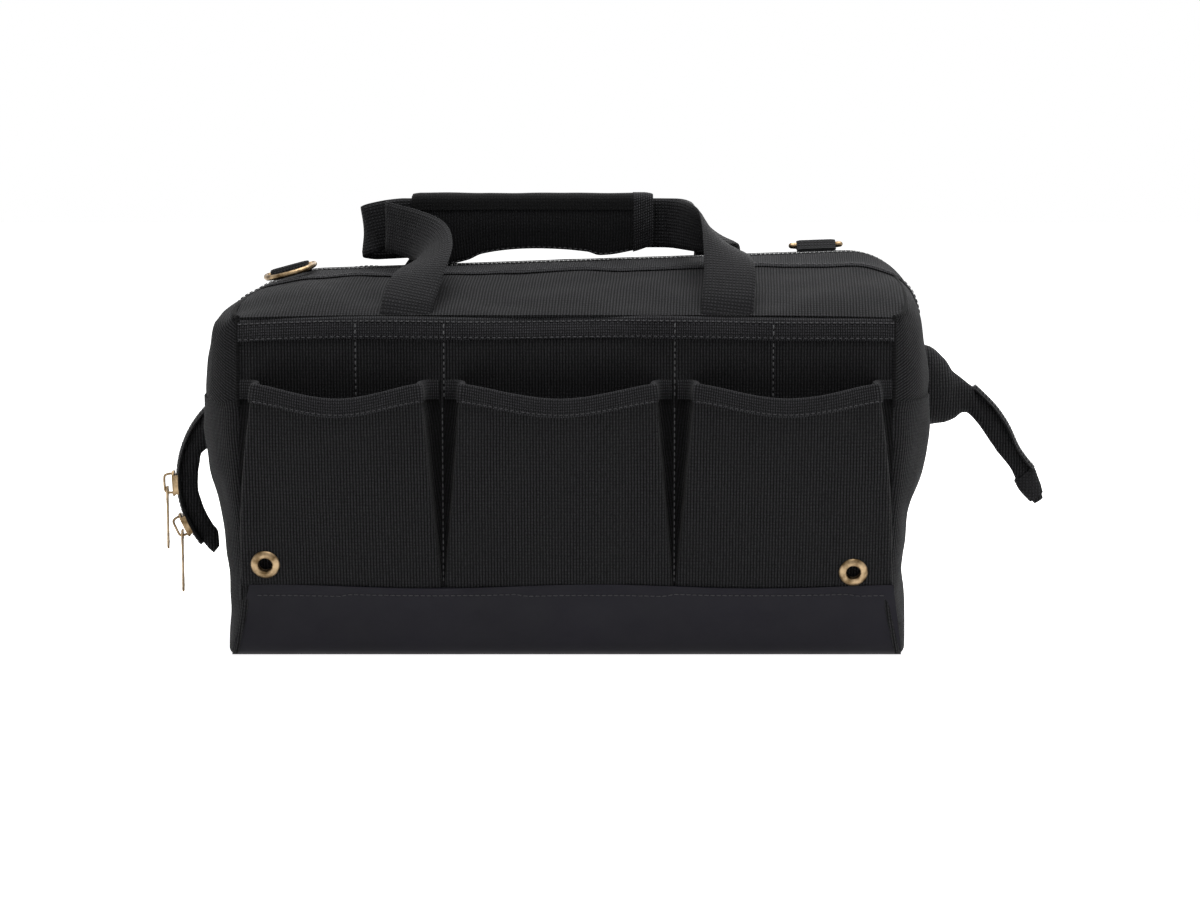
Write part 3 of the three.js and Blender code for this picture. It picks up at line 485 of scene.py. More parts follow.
def turnOutwards(piece):
    takeUp(piece)
    bpy.ops.object.mode_set(mode="EDIT")
    bpy.ops.mesh.select_all(action="SELECT")
    bpy.ops.mesh.normals_make_consistent(inside=False)
    bpy.ops.object.mode_set(mode="OBJECT")


def mirrorCopy(piece, name):
    copy = piece.copy()
    copy.data = piece.data.copy()
    copy.name = name
    bpy.context.scene.collection.objects.link(copy)
    copy.data.transform(Matrix.Diagonal((1, -1, 1, 1)))
    copy.data.flip_normals()
    return copy


# Pieces are made for the front, way -1, and mirrored for the back, way 1
def onSide(piece, way):
    if way < 0:
        return piece
    back = mirrorCopy(piece, piece.name)
    bpy.data.objects.remove(piece)
    return back


# Faces of a closed tube of point rings, whose points are numbered from first
def tubeFaces(first, levels, sides):
    faces = []
    for level in range(levels - 1):
        a, b = first + level * sides, first + (level + 1) * sides
        faces.extend((a + j, a + (j + 1) % sides, b + (j + 1) % sides, b + j) for j in range(sides))
    last = first + (levels - 1) * sides
    faces.append(tuple(first + j for j in reversed(range(sides))))
    faces.append(tuple(last + j for j in range(sides)))
    return faces


# A round hole along the turned Z axis, as wide as stretch times its radius one way
def drill(piece, spot, turn, radius, length, sides, stretch=1):
    deselectAll()
    bpy.ops.mesh.primitive_cylinder_add(
        vertices=sides, radius=radius * mm, depth=length * mm, location=Vector(spot) * mm, rotation=turn)
    cutter = bpy.context.object
    cutter.scale = (stretch, 1, 1)
    settle(cutter)
    applyModifier(piece, "BOOLEAN", object=cutter, operation="DIFFERENCE", solver="EXACT")
    bpy.data.objects.remove(cutter)


# Writes the lengths along a grid of points, in millimetres, into the UV map that the weaves read
def layWeave(piece, grid, index):
    across = np.zeros(grid.shape[:2])
    along = np.zeros(grid.shape[:2])
    across[:, 1:] = np.linalg.norm(np.diff(grid, axis=1), axis=2).cumsum(axis=1)
    along[1:, :] = np.linalg.norm(np.diff(grid, axis=0), axis=2).cumsum(axis=0)
    across -= across[:, across.shape[1] // 2][:, None]
    layer = piece.data.uv_layers.active or piece.data.uv_layers.new(name="UVMap")
    for polygon in piece.data.polygons:
        for loop in polygon.loop_indices:
            j, i = index[piece.data.loops[loop].vertex_index]
            layer.data[loop].uv = (across[j, i], along[j, i])


# A sheet of cloth: a grid primitive whose points are set by place(u, v), in millimetres
def clothGrid(name, columns, rows, place, inside):
    deselectAll()
    bpy.ops.mesh.primitive_grid_add(x_subdivisions=columns, y_subdivisions=rows, size=1)
    sheet = bpy.context.object
    sheet.name = name
    grid = np.zeros((rows + 1, columns + 1, 3))
    index = []
    for vertex in sheet.data.vertices:
        i = round((vertex.co.x + 0.5) * columns)
        j = round((vertex.co.y + 0.5) * rows)
        grid[j, i] = place(i / columns, j / rows)
        index.append((j, i))
        vertex.co = Vector(grid[j, i]) * mm
    layWeave(sheet, grid, index)
    sheet.data.update()
    outward = sum((p.center - Vector(inside) * mm).dot(p.normal) * p.area for p in sheet.data.polygons)
    if outward < 0:
        sheet.data.flip_normals()
    return sheet


# Soft dents: moves each point along its normal by smooth noise
def crumple(piece, depth, size, seed, hold=None):
    piece.data.update()
    for vertex in piece.data.vertices:
        spot = vertex.co / (size * mm) + Vector((seed, seed * 0.7, seed * 1.3))
        amount = noise.noise(spot) + 0.45 * noise.noise(spot * 2.3)
        share = hold(vertex.co / mm) if hold else 1
        vertex.co += vertex.normal * depth * mm * amount * share


def thicken(piece, thickness):
    applyModifier(piece, "SOLIDIFY", thickness=thickness * mm, offset=-1)


# Sweeps a closed section of (across, above) points along frames of (place, across, above)
def sweepSection(name, section, frames):
    sides = len(section)
    points = [at + across * float(a) + above * float(b) for at, across, above in frames for a, b in section]
    piece = meshPiece(name, points, tubeFaces(0, len(frames), sides))
    layer = piece.data.uv_layers.new(name="UVMap")
    runs = [0.0]
    for (a, _, _), (b, _, _) in zip(frames, frames[1:]):
        runs.append(runs[-1] + (b - a).length)
    girths = [0.0]
    for (a, b), (c, d) in zip(section, section[1:]):
        girths.append(girths[-1] + math.hypot(c - a, d - b))
    for polygon in piece.data.polygons:
        for loop in polygon.loop_indices:
            vertex = piece.data.loops[loop].vertex_index
            layer.data[loop].uv = (runs[vertex // sides], girths[vertex % sides])
    turnOutwards(piece)
    return piece


# Frames along a path whose across direction is given at each point
def framesAlong(points, acrosses):
    frames = []
    for i, at in enumerate(points):
        travel = (points[min(i + 1, len(points) - 1)] - points[max(i - 1, 0)]).normalized()
        across = acrosses[i] - travel * acrosses[i].dot(travel)
        across.normalize()
        frames.append((at, across, travel.cross(across)))
    return frames


def roundedSection(width, thick, edge):
    w, t = width / 2, thick / 2
    return [(-w, -t + edge), (-w + edge, -t), (w - edge, -t), (w, -t + edge),
            (w, t - edge), (w - edge, t), (-w + edge, t), (-w, t - edge)]


def resample(points, spacing):
    runs = [0.0]
    for a, b in zip(points, points[1:]):
        runs.append(runs[-1] + (b - a).length)
    count = max(2, round(runs[-1] / spacing))
    result = []
    for target in np.linspace(0, runs[-1], count + 1):
        i = min(int(np.searchsorted(runs, target, side="right")) - 1, len(points) - 2)
        share = (target - runs[i]) / max(runs[i + 1] - runs[i], 1e-9)
        result.append(points[i].lerp(points[i + 1], share))
    return result


# A stitch is a short rounded length of thread: places along it with its fatness there, and turns round it
stitch = {
    "shape": ((-0.5, 0.35), (-0.32, 1), (0.32, 1), (0.5, 0.35)),
    "turns": (0, 1.2566, 2.5133, 3.7699, 5.0265),
    "lift": 0.12,
}


# A row of stitches along points of the cloth, whose outward direction is out
def stitchRow(points, out, pitch=3.2, length=2.3, radius=0.34):
    spots = resample(points, pitch)
    rings = []
    for a, b in zip(spots, spots[1:]):
        travel = (b - a).normalized()
        side = travel.cross(out).normalized()
        middle = (a + b) / 2 + out * stitch["lift"]
        rings.append([
            middle + travel * length * along + (side * math.cos(turn) + out * math.sin(turn)) * radius * fat
            for along, fat in stitch["shape"]
            for turn in stitch["turns"]
        ])
    return rings


def sewMesh(name, rows, body, material=None):
    points, faces = [], []
    for ring in (ring for row in rows for ring in row):
        faces += tubeFaces(len(points), len(stitch["shape"]), len(stitch["turns"]))
        points.extend(ring)
    piece = meshPiece(name, points, faces)
    turnOutwards(piece)
    bpy.ops.object.shade_smooth()
    return finish(piece, material or thread, "canvas", body)


# Smooth curve through a few (position, value) pairs
def profile(pairs, at):
    xs, ys = zip(*pairs)
    if at <= xs[0]:
        return ys[0]
    if at >= xs[-1]:
        return ys[-1]
    i = max(k for k in range(len(xs) - 1) if xs[k] <= at)
    share = (at - xs[i]) / (xs[i + 1] - xs[i])
    slopes = []
    for k in (i, i + 1):
        low, high = max(k - 1, 0), min(k + 1, len(xs) - 1)
        slopes.append((ys[high] - ys[low]) / (xs[high] - xs[low]) * (xs[i + 1] - xs[i]))
    s2, s3 = share * share, share ** 3
    return ((2 * s3 - 3 * s2 + 1) * ys[i] + (s3 - 2 * s2 + share) * slopes[0]
            + (3 * s2 - 2 * s3) * ys[i + 1] + (s3 - s2) * slopes[1])


# Sizes that the pieces share, in millimetres, from the frame where it has them

slipBox = [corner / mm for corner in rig.box("front_slip_pocket")]
tapeBox = [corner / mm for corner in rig.box("front_zip_tape")]
wallBox = [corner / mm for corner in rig.box("front_wall")]
trayBox = [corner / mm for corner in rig.box("base_tray")]

body = {
    "seamHeight": 152.3,
    "wallY": -wallBox[0].y,
    "slipY": -slipBox[0].y,
    "roofY": -slipBox[0].y - 1.5,
    "slipTop": slipBox[1].z,
    "frontY": -trayBox[0].y,
    # x of the seam between the front and the end panel, by height
    "cornerSeam": ((0, 196.5), (37, 188.5), (60, 190.5), (95, 193.0), (206, 193.0)),
    # x of the fullest place of the end panel, and x of its middle, where the zip and the tail are
    "lobe": ((0, 206), (36, 207), (76, 209.5), (106, 216.6), (134, 221.5), (160, 221.5)),
    "middle": ((0, 205), (76, 209), (106, 217), (138, 221.4), (147, 220.6), (152.3, 216.2), (160, 215)),
}
mouth = {
    "ridgeLeft": 220, "ridgeRight": 231, "leftCorner": 60, "rightCorner": 36,
    "frameX": tapeBox[1].x - 3.9, "foot": body["seamHeight"], "tapeTop": 3.9, "roofTurn": 35,
    "zipEdgeY": 14.6,
}


def mouthLine():
    frameX = mouth["frameX"]
    leftRadius, rightRadius = mouth["leftCorner"], mouth["rightCorner"]
    left = (-frameX + leftRadius, mouth["ridgeLeft"] - leftRadius)
    right = (frameX - rightRadius, mouth["ridgeRight"] - rightRadius)
    slope = math.atan2(mouth["ridgeRight"] - mouth["ridgeLeft"], right[0] - left[0])
    stations = [(-frameX, z, -1.0, 0.0) for z in np.linspace(mouth["foot"], left[1], 4)[:-1]]

    def corner(centre, radius, angles):
        for angle in angles:
            n = (math.cos(angle), math.sin(angle))
            stations.append((centre[0] + radius * n[0], centre[1] + radius * n[1], *n))

    corner(left, leftRadius, np.linspace(math.pi, math.pi / 2 + slope, 40))
    start, normal = stations[-1][:2], stations[-1][2:]
    end = (right[0] + rightRadius * normal[0], right[1] + rightRadius * normal[1])
    for share in np.linspace(0, 1, 90)[1:-1]:
        x, z = (a + (b - a) * share for a, b in zip(start, end))
        stations.append((x, z, *normal))
    corner(right, rightRadius, np.linspace(math.pi / 2 + slope, 0, 32))
    stations.extend((frameX, z, 1.0, 0.0) for z in np.linspace(right[1], mouth["foot"], 14)[1:])
    return np.array(stations)


line = mouthLine()
lineRun = np.concatenate([[0], np.linalg.norm(np.diff(line[:, :2], axis=0), axis=1).cumsum()])


# Place and outward normal of the mouth line, in X and Z, at a run in mm from its left foot
def mouthAt(run):
    values = [float(np.interp(run, lineRun, line[:, k])) for k in range(4)]
    size = math.hypot(values[2], values[3])
    return values[0], values[1], values[2] / size, values[3] / size


mouthLength = float(lineRun[-1])
turns = np.degrees(np.arctan2(line[:, 3], line[:, 2]))
roofRuns = lineRun[np.abs(turns - 90) < mouth["roofTurn"]]
roofFrom, roofTo = float(roofRuns[0]), float(roofRuns[-1])


# Half of the bag's depth at the corner seams. The end panels wrap over the ends of the base band.
def depthAt(z):
    return profile(((0, 115.2), (38, 114.8), (58, 112.3), (90, 111.7), (206, 111.7)), z)


# The same above the end panels, where the shell leans in towards the roof
def cornerDepth(z):
    climb = max(0, min(1, (z - body["seamHeight"]) / (body["slipTop"] - 0.5 - body["seamHeight"])))
    return depthAt(z) + (body["roofY"] - depthAt(z)) * climb ** 3


# Fullness of an end panel between its corner seam, at 0, and the zip, at 1: a soft fold near the corner
def fullness(share):
    wave = math.sin(math.pi * min(1, max(0, share)) ** 0.6)
    return max(0, wave) ** (0.75 if share < 0.315 else 1.15)


def endPoint(side, u, z):
    depth = depthAt(z)
    y = depth * math.sin((u - 0.5) * math.pi)
    share = min(1, (depth - abs(y)) / (depth - mouth["zipEdgeY"]))
    seam, middle = profile(body["cornerSeam"], z), profile(body["middle"], z)
    x = seam + (middle - seam) * share
    x += (profile(body["lobe"], z) - (seam + middle) / 2) * fullness(share)
    return Vector((side * x, y, z))


# Lower shell

shell = {
    "foot": 2.6, "columns": 64, "rows": 44, "thick": 2.0, "dent": 3.2, "dentSize": 46, "seed": 3.1,
    "fadeTop": 20, "fadeFoot": 12, "fadeCorner": 14,
}
wall = {"half": 192, "foot": 4, "underTop": 1, "inset": 0.4, "thick": 1.4}


def endPanel(side, name, node):
    def place(u, v):
        z = shell["foot"] + (body["seamHeight"] + 0.8 - shell["foot"]) * v
        return endPoint(side, u, z)

    piece = clothGrid(name, shell["columns"], shell["rows"], place, (0, 0, 90))

    def hold(p):
        top, foot = (body["seamHeight"] - p.z) / shell["fadeTop"], (p.z - shell["foot"]) / shell["fadeFoot"]
        return max(0, min(1, top, foot)) * min(1, (body["slipY"] - abs(p.y)) / shell["fadeCorner"] + 0.15)

    crumple(piece, shell["dent"], shell["dentSize"], shell["seed"] + side, hold)
    thicken(piece, shell["thick"])
    smooth(piece)
    return finish(piece, canvas, "canvas", "bag_body", [node])


# The inner walls are drawn in the shaded cloth, as painted shade inside the bag
def innerWall(side, name, node):
    y = side * (body["wallY"] - wall["inset"])

    def place(u, v):
        x = (u - 0.5) * 2 * wall["half"]
        z = wall["foot"] + (body["slipTop"] - wall["underTop"] - wall["foot"]) * v
        return x, y + side * (0.5 - 1.0 * math.sin(math.pi * v) * math.cos(x / 90)), z

    piece = clothGrid(name, 60, 26, place, (0, 0, 90))
    thicken(piece, wall["thick"])
    smooth(piece)
    return finish(piece, shadedDuck, "canvas", "bag_body", [node])


endPanel(-1, "endPanelLeft", "left_end_wall")
endPanel(1, "endPanelRight", "right_end_wall")
innerWall(-1, "innerWallFront", "front_wall")
innerWall(1, "innerWallBack", "back_wall")
print("lower shell is ready")


# Upper shell: the roof panels and the upper ends, which fold as the mouth opens

# Sag is the depth, size and seed of its dents, and left and right are the fullest x of the ends by climb
upper = {
    "columns": 190, "rows": 34, "shoulder": 4.5, "zipDrop": 0.5, "thick": 1.8, "fade": 0.07,
    "sag": (3.0, 52, 8.3), "holdZip": 16, "holdFront": 14, "seamLift": 1.0, "cornerDrop": 1.5,
    "lowClimb": 0.12, "lowMiddle": 216.2,
    "left": ((0, 221.5), (0.25, 219), (0.5, 216.5), (0.82, 211), (0.93, 203.5), (1, 194)),
    "right": ((0, 221.5), (0.25, 221), (0.5, 218), (0.8, 212), (1, 203)),
}


# Lowest row: the corner seams and the front edge. Highest row: the edge under the zip's facing.
def upperPoint(run, share):
    x, z, nx, nz = mouthAt(run)
    top = mouth["tapeTop"] - upper["zipDrop"]
    zipEdge = Vector((x + nx * top, -mouth["zipEdgeY"], z + nz * top))
    front = body["slipTop"] + upper["seamLift"]
    seam = profile(body["cornerSeam"], 206)
    if roofFrom <= run <= roofTo:
        middle = (run - roofFrom) / (roofTo - roofFrom)
        low = front - upper["cornerDrop"] * abs(2 * middle - 1) ** 4
        foot = Vector((-seam + 2 * seam * middle, -body["roofY"], low))
        point = foot.lerp(zipEdge, share)
        close = max(0, 1 - min(middle, 1 - middle) / upper["fade"])
        point.z += upper["shoulder"] * math.sin(math.pi * share ** 0.8) * (1 - 0.6 * close ** 2)
        for side, near in ((-1, middle), (1, 1 - middle)):
            if near < upper["fade"]:
                lobe = upper["left" if side < 0 else "right"][-1][1]
                base = (seam + abs(zipEdge.x)) / 2
                point.x += side * (lobe - base) * fullness(share) * (1 - near / upper["fade"]) ** 2
        return point
    side = -1 if run < roofFrom else 1
    climb = run / roofFrom if side < 0 else (mouthLength - run) / (mouthLength - roofTo)
    z0 = body["seamHeight"] + (front - upper["cornerDrop"] - body["seamHeight"]) * climb
    seam = profile(body["cornerSeam"], z0)
    depth = cornerDepth(z0)
    middle = abs(zipEdge.x)
    if climb <= upper["lowClimb"]:
        middle = upper["lowMiddle"] + (middle - upper["lowMiddle"]) * climb / upper["lowClimb"]
    lobe = profile(upper["left" if side < 0 else "right"], climb)
    full = seam + (middle - seam) * share + (lobe - (seam + middle) / 2) * fullness(share)
    y = -depth + (depth - mouth["zipEdgeY"]) * share
    lift = 0.4 * upper["shoulder"] * math.sin(math.pi * share ** 0.8) * climb ** 2
    return Vector((side * full, y, z0 + (zipEdge.z - z0) * share + lift))


# How far the cloth may sag: not at the zip, and little at the front edge
def upperHold(p):
    fromZip = (abs(p.y) - mouth["zipEdgeY"]) / upper["holdZip"]
    fromFront = (body["roofY"] - abs(p.y)) / upper["holdFront"]
    return max(0, min(1, fromZip, fromFront + 0.05))


def upperShell():
    def place(u, v):
        return upperPoint(mouthLength * u, v)

    piece = clothGrid("upperShellFront", upper["columns"], upper["rows"], place, (0, 0, 150))
    crumple(piece, *upper["sag"], upperHold)
    thicken(piece, upper["thick"])
    smooth(piece)
    return piece


# The zip's facing, whose width is a share of the way from the zip to the front
facing = {
    "width": 0.27, "lift": 1.5, "thick": 1.2, "columns": 190, "rows": 12, "margin": 3, "lean": 0.35,
    "tuck": 0.5, "seamAt": 0.9, "seamLift": 0.15,
}


def facingPoint(u, v, lift):
    run = facing["margin"] + (mouthLength - 2 * facing["margin"]) * u
    _, _, nx, nz = mouthAt(run)
    out = Vector((nx, -facing["lean"], nz)).normalized()
    return upperPoint(run, 1.0 - facing["width"] * v) + out * lift


def zipFacing():
    def place(u, v):
        return facingPoint(u, v, facing["lift"] - facing["tuck"] * (v > 0.95))

    piece = clothGrid("zipFacingFront", facing["columns"], facing["rows"], place, (0, 0, 150))
    crumple(piece, *upper["sag"], upperHold)
    thicken(piece, facing["thick"])
    smooth(piece)
    return piece


# Where the cloth starts to follow the mouth, and where it follows it fully
fold = {"start": (0, -0.098, 0), "end": (0, -0.040, 0)}


def flip(p):
    return p[0], -p[1], p[2]


upperFront = upperShell()
upperBack = mirrorCopy(upperFront, "upperShellBack")
for piece, side in ((upperFront, "front"), (upperBack, "back")):
    finish(piece, canvas, "canvas", None, [f"{side}_roof", f"left_{side}_gusset", f"right_{side}_gusset"])
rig.blend(upperFront, "bag_body", "front_mouth", fold["start"], fold["end"])
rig.blend(upperBack, "bag_body", "back_mouth", flip(fold["start"]), flip(fold["end"]))


# A point of the facing's seam, moved with the cloth as crumple moves it
def facingSeam(u):
    height, at = facing["lift"] + facing["seamLift"], facing["seamAt"]
    p = facingPoint(u, at, height)
    beside, above = facingPoint(u + 0.002, at, height), facingPoint(u, at - 0.02, height)
    normal = (beside - p).cross(above - p).normalized()
    if normal.z < 0:
        normal = -normal
    depth, size, seed = upper["sag"]
    spot = p / size + Vector((seed, seed * 0.7, seed * 1.3))
    return p + normal * depth * (noise.noise(spot) + 0.45 * noise.noise(spot * 2.3)) * upperHold(p)


seamPoints = [facingSeam(u) for u in np.linspace(0.09, 0.91, 240)]
seamRows = stitchRow(seamPoints, Vector((0, -0.6, 0.8)).normalized(), 3.3, 2.4, 0.3)
facingFront = zipFacing()
seamFront = sewMesh("zipSeamFront", [seamRows], None, threadDark)
facingBack = mirrorCopy(facingFront, "zipFacingBack")
seamBack = mirrorCopy(seamFront, "zipSeamBack")
for piece in (facingFront, facingBack):
    finish(piece, bindingCloth, "canvas")
for piece in (facingFront, seamFront):
    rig.blend(piece, "bag_body", "front_mouth", fold["start"], fold["end"])
for piece in (facingBack, seamBack):
    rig.slot(piece, "canvas")
    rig.blend(piece, "bag_body", "back_mouth", flip(fold["start"]), flip(fold["end"]))
print("upper shell is ready")


# Dark piping over the four upright corner seams, and on over the ends of the roof panels, drawn in the shaded cloth as
# painted shade along the seams
piping = {
    "low": 150, "high": 203.4, "out": 0.2, "proud": 0.5, "width": 2.6, "thick": 1.6, "roofThick": 2.0,
    "reach": 0.74,
}


def cornerSeam(side, way):
    title = ("Right" if side > 0 else "Left") + ("Back" if way > 0 else "Front")
    points = []
    for z in np.linspace(piping["low"], piping["high"], 24):
        x = side * (profile(body["cornerSeam"], z) + piping["out"])
        points.append(Vector((x, way * (cornerDepth(z) + piping["proud"]), z)))
    frames = framesAlong(points, [Vector((1, 0, 0))] * len(points))
    section = roundedSection(piping["width"], piping["thick"], 0.5)
    piece = sweepSection(f"cornerSeam{title}", section, frames)
    smooth(piece)
    finish(piece, shadedDuck, "canvas", "bag_body")
    run = roofTo + 0.5 if side > 0 else roofFrom - 0.5
    across = upperPoint(run + 1, 0.4) - upperPoint(run - 1, 0.4)
    points = []
    for share in np.linspace(0, piping["reach"], 30):
        p = upperPoint(run, share) + Vector((side * 0.3, 0, piping["proud"]))
        points.append(Vector((p.x, -way * p.y, p.z)))
    frames = framesAlong(points, [Vector((across.x, -way * across.y, across.z))] * len(points))
    section = roundedSection(piping["width"], piping["roofThick"], 0.6)
    piece = sweepSection(f"roofSeam{title}", section, frames)
    smooth(piece)
    finish(piece, shadedDuck, "canvas")
    start, end = (fold["start"], fold["end"]) if way < 0 else (flip(fold["start"]), flip(fold["end"]))
    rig.blend(piece, "bag_body", "back_mouth" if way > 0 else "front_mouth", start, end)


for side in (-1, 1):
    for way in (-1, 1):
        cornerSeam(side, way)


# Base band: one coated sheet from the front band, under the floor, to the back band

band = {
    "top": 43, "thick": 2.4, "topY": 115.1, "radius": 9, "columns": 110, "stitchDrop": 5.2,
    "half": 200, "leftLean": 12, "rightLean": 6, "puff": 1.3, "wave": 1.2,
}


def bandPath():
    y, r = body["frontY"] - 0.6, band["radius"]
    front = [(-band["topY"], band["top"]), (-band["topY"], band["top"] - 6), (-y - 0.6, 30), (-y - 0.3, 20)]
    corner = [(-y + r - r * math.cos(t), r - r * math.sin(t)) for t in np.linspace(0, math.pi / 2, 9)]
    half = front + corner + [(-y + 40, 0.0), (-40, 0.0), (-15, 0.0)]
    return half + [(-a, b) for a, b in reversed(half)]


bandLine = [Vector((0, y, z)) for y, z in bandPath()]
bandPoints = resample(bandLine, 4.0)


def bandPlace(u, v):
    spot = v * (len(bandPoints) - 1)
    i = min(int(spot), len(bandPoints) - 2)
    p = bandPoints[i].lerp(bandPoints[i + 1], spot - i)
    climb = max(0, min(1, p.z / band["top"]))
    left, right = -band["half"] + band["leftLean"] * climb, band["half"] - band["rightLean"] * climb
    x = left + (right - left) * u
    edge = min(1, 12 * u, 12 * (1 - u))
    spot = Vector((x / 34, p.z / 19, math.copysign(3, p.y)))
    puff = band["puff"] * noise.noise(spot) * edge * min(1, p.z / 12)
    wave = band["wave"] * math.sin(x / 31 + 1) * climb ** 4
    return Vector((x, p.y + math.copysign(puff, p.y), p.z + wave * (p.z > 20)))


def baseBand():
    piece = clothGrid("baseBand", band["columns"], len(bandPoints) - 1, bandPlace, (0, 0, 60))
    thicken(piece, band["thick"])
    smooth(piece)
    return finish(piece, coated, "coated_base", "bag_body", ["base_tray"])


def bandStitches(way):
    points = []
    for u in np.linspace(0.015, 0.985, 90):
        rows = [(bandPlace(u, v), v) for v in np.linspace(0, 0.12, 32)]
        best = min(rows, key=lambda row: abs(row[0].z - band["top"] + band["stitchDrop"]))[0]
        points.append(Vector((best.x, way * (abs(best.y) + 0.1), best.z)))
    return stitchRow(points, Vector((0, way, 0)), 3.6, 2.7, 0.3)


baseBand()
sewMesh("bandStitching", [bandStitches(-1), bandStitches(1)], "bag_body", threadDark)
print("base band is ready")

# Bindings: ribbed tape folded over an edge


def bindingSection(height, out, sheet):
    outside = [(out * 0.7, -height), (out, -height + 1.2), (out + 0.2, -height * 0.5), (out, -0.8)]
    over = [(out * 0.4, 0.7), (-sheet / 2, 1.0), (-sheet - out * 0.4, 0.7)]
    inside = [(-sheet - out, -0.8), (-sheet - out, -height), (-sheet - 0.1, -height)]
    return outside + over + inside + [(-sheet - 0.1, -0.4), (0.05, -0.4), (0.05, -height)]


# Points lie on the edge, and lows on the sheet below it. Sizes are of the pocket whose edge it is
def bindEdge(name, points, lows, way, sizes, nodes):
    frames = []
    for i, (at, low) in enumerate(zip(points, lows)):
        travel = points[min(i + 1, len(points) - 1)] - points[max(i - 1, 0)]
        outward = Vector((travel.y, -travel.x, 0)).normalized()
        frames.append((at, outward, (at - low).normalized()))
    section = bindingSection(sizes["bindingHeight"], sizes["bindingOut"], sizes["sheet"])
    piece = sweepSection(name, section, frames)
    smooth(piece, 40)
    return finish(onSide(piece, way), bindingCloth, "canvas", "bag_body", nodes)


# Slip pockets: a flat sheet on each long side, open at the top

# Bulge is how far the middle of the sheet stands out, by height. Valleys are the seams between the bellows
slip = {
    "half": 193.5, "foot": 35, "sheet": 1.4, "bindingHeight": 12.4, "bindingOut": 1.7, "droop": 1.6,
    "bulge": ((40, 0), (158, 0), (184, 0.9), (203, -2.4)), "corner": 16, "stitches": (-124, -72, 64, 122),
    "valleys": (-73, 64), "valleyY": 112.4, "valleyFrom": 45, "valleyTo": 150,
}


def slipTop(x):
    return body["slipTop"] - 0.8 - slip["droop"] * abs(x / slip["half"]) ** 4 + 0.5 * math.sin(x / 27)


def slipPoint(u, v):
    x = (2 * u - 1) * slip["half"]
    z = slip["foot"] + (slipTop(x) - slip["foot"]) * v
    share = profile(slip["bulge"], z)
    dent = 1.1 * noise.noise(Vector((x / 38, z / 30, 2))) + 0.5 * math.cos(x / 29)
    corner = max(0, (abs(x) - slip["half"] + slip["corner"]) / slip["corner"]) ** 2
    middle = body["slipY"] + 0.4 + share * (0.9 + dent)
    return Vector((x, -middle - (cornerDepth(z) - middle) * corner, z))


def slipPocket(way, name):
    out = Vector((0, way, 0))
    piece = clothGrid(f"slipPocket{name}", 110, 44, slipPoint, (0, 0, 100))
    thicken(piece, slip["sheet"])
    smooth(piece)
    finish(onSide(piece, way), canvas, "canvas", "bag_body", [f"{name.lower()}_slip_pocket"])
    us = np.linspace(0, 1, 121)
    drop = slip["bindingHeight"] / (body["slipTop"] - slip["foot"])
    edge, below = [slipPoint(u, 1) for u in us], [slipPoint(u, 1 - drop) for u in us]
    bindEdge(f"slipBinding{name}", edge, below, way, slip, [f"{name.lower()}_slip_binding"])
    seams = []
    for share in (0.15, 0.88):
        line = [slipPoint(u, 1 - drop * share) for u in us]
        line = [Vector((p.x, way * (abs(p.y) + slip["bindingOut"] + 0.15), p.z)) for p in line]
        seams.append(stitchRow(line, out, 3.4, 2.3, 0.34))
    sewMesh(f"slipSeam{name}", seams, "bag_body", threadDark)
    rows = []
    for x in slip["stitches"]:
        u = (x / slip["half"] + 1) / 2
        run = [slipPoint(u, v) for v in np.linspace(0.72, 0.985, 14)]
        edge = slipTop(x) - slip["bindingHeight"]
        proud = [slip["bindingOut"] + 0.25 if p.z > edge else 0.1 for p in run]
        points = [Vector((p.x, way * (abs(p.y) + lift), p.z)) for p, lift in zip(run, proud)]
        rows.append(stitchRow(points, out, 3.6, 2.4, 0.42))
    for x in slip["valleys"]:
        heights = np.linspace(slip["valleyFrom"], slip["valleyTo"], 4)
        valley = [Vector((x, way * slip["valleyY"], z)) for z in heights]
        rows.append(stitchRow(valley, out, 3.8, 2.4, 0.36))
    sewMesh(f"slipStitching{name}", rows, "bag_body")


slipPocket(-1, "Front")
slipPocket(1, "Back")
print("slip pockets are ready")


# Bellows pockets: each sheet runs from its seam out through a pleat, over the front and back again

pocket = {
    "foot": 42, "under": 40.5, "top": 165, "dip": 8.5, "pleat": 9.3, "root": 111.6, "start": 2.1,
    "depth": 22, "swell": 0.8, "crown": 4, "sheet": 1.4, "columns": 78, "rows": 46,
    "bindingHeight": 10.5, "bindingOut": 1.4, "outerX": 190, "outerPull": 4.2, "eyeletHole": 4.8,
}
pocketSeams = {"left": (-194, -73), "centre": (-73, 64), "right": (64, 194)}


def pocketClimb(z):
    return max(0, min(1, (z - pocket["foot"]) / (pocket["top"] - pocket["foot"])))


def pocketDepth(climb):
    return pocket["start"] + pocket["depth"] * climb ** pocket["swell"]


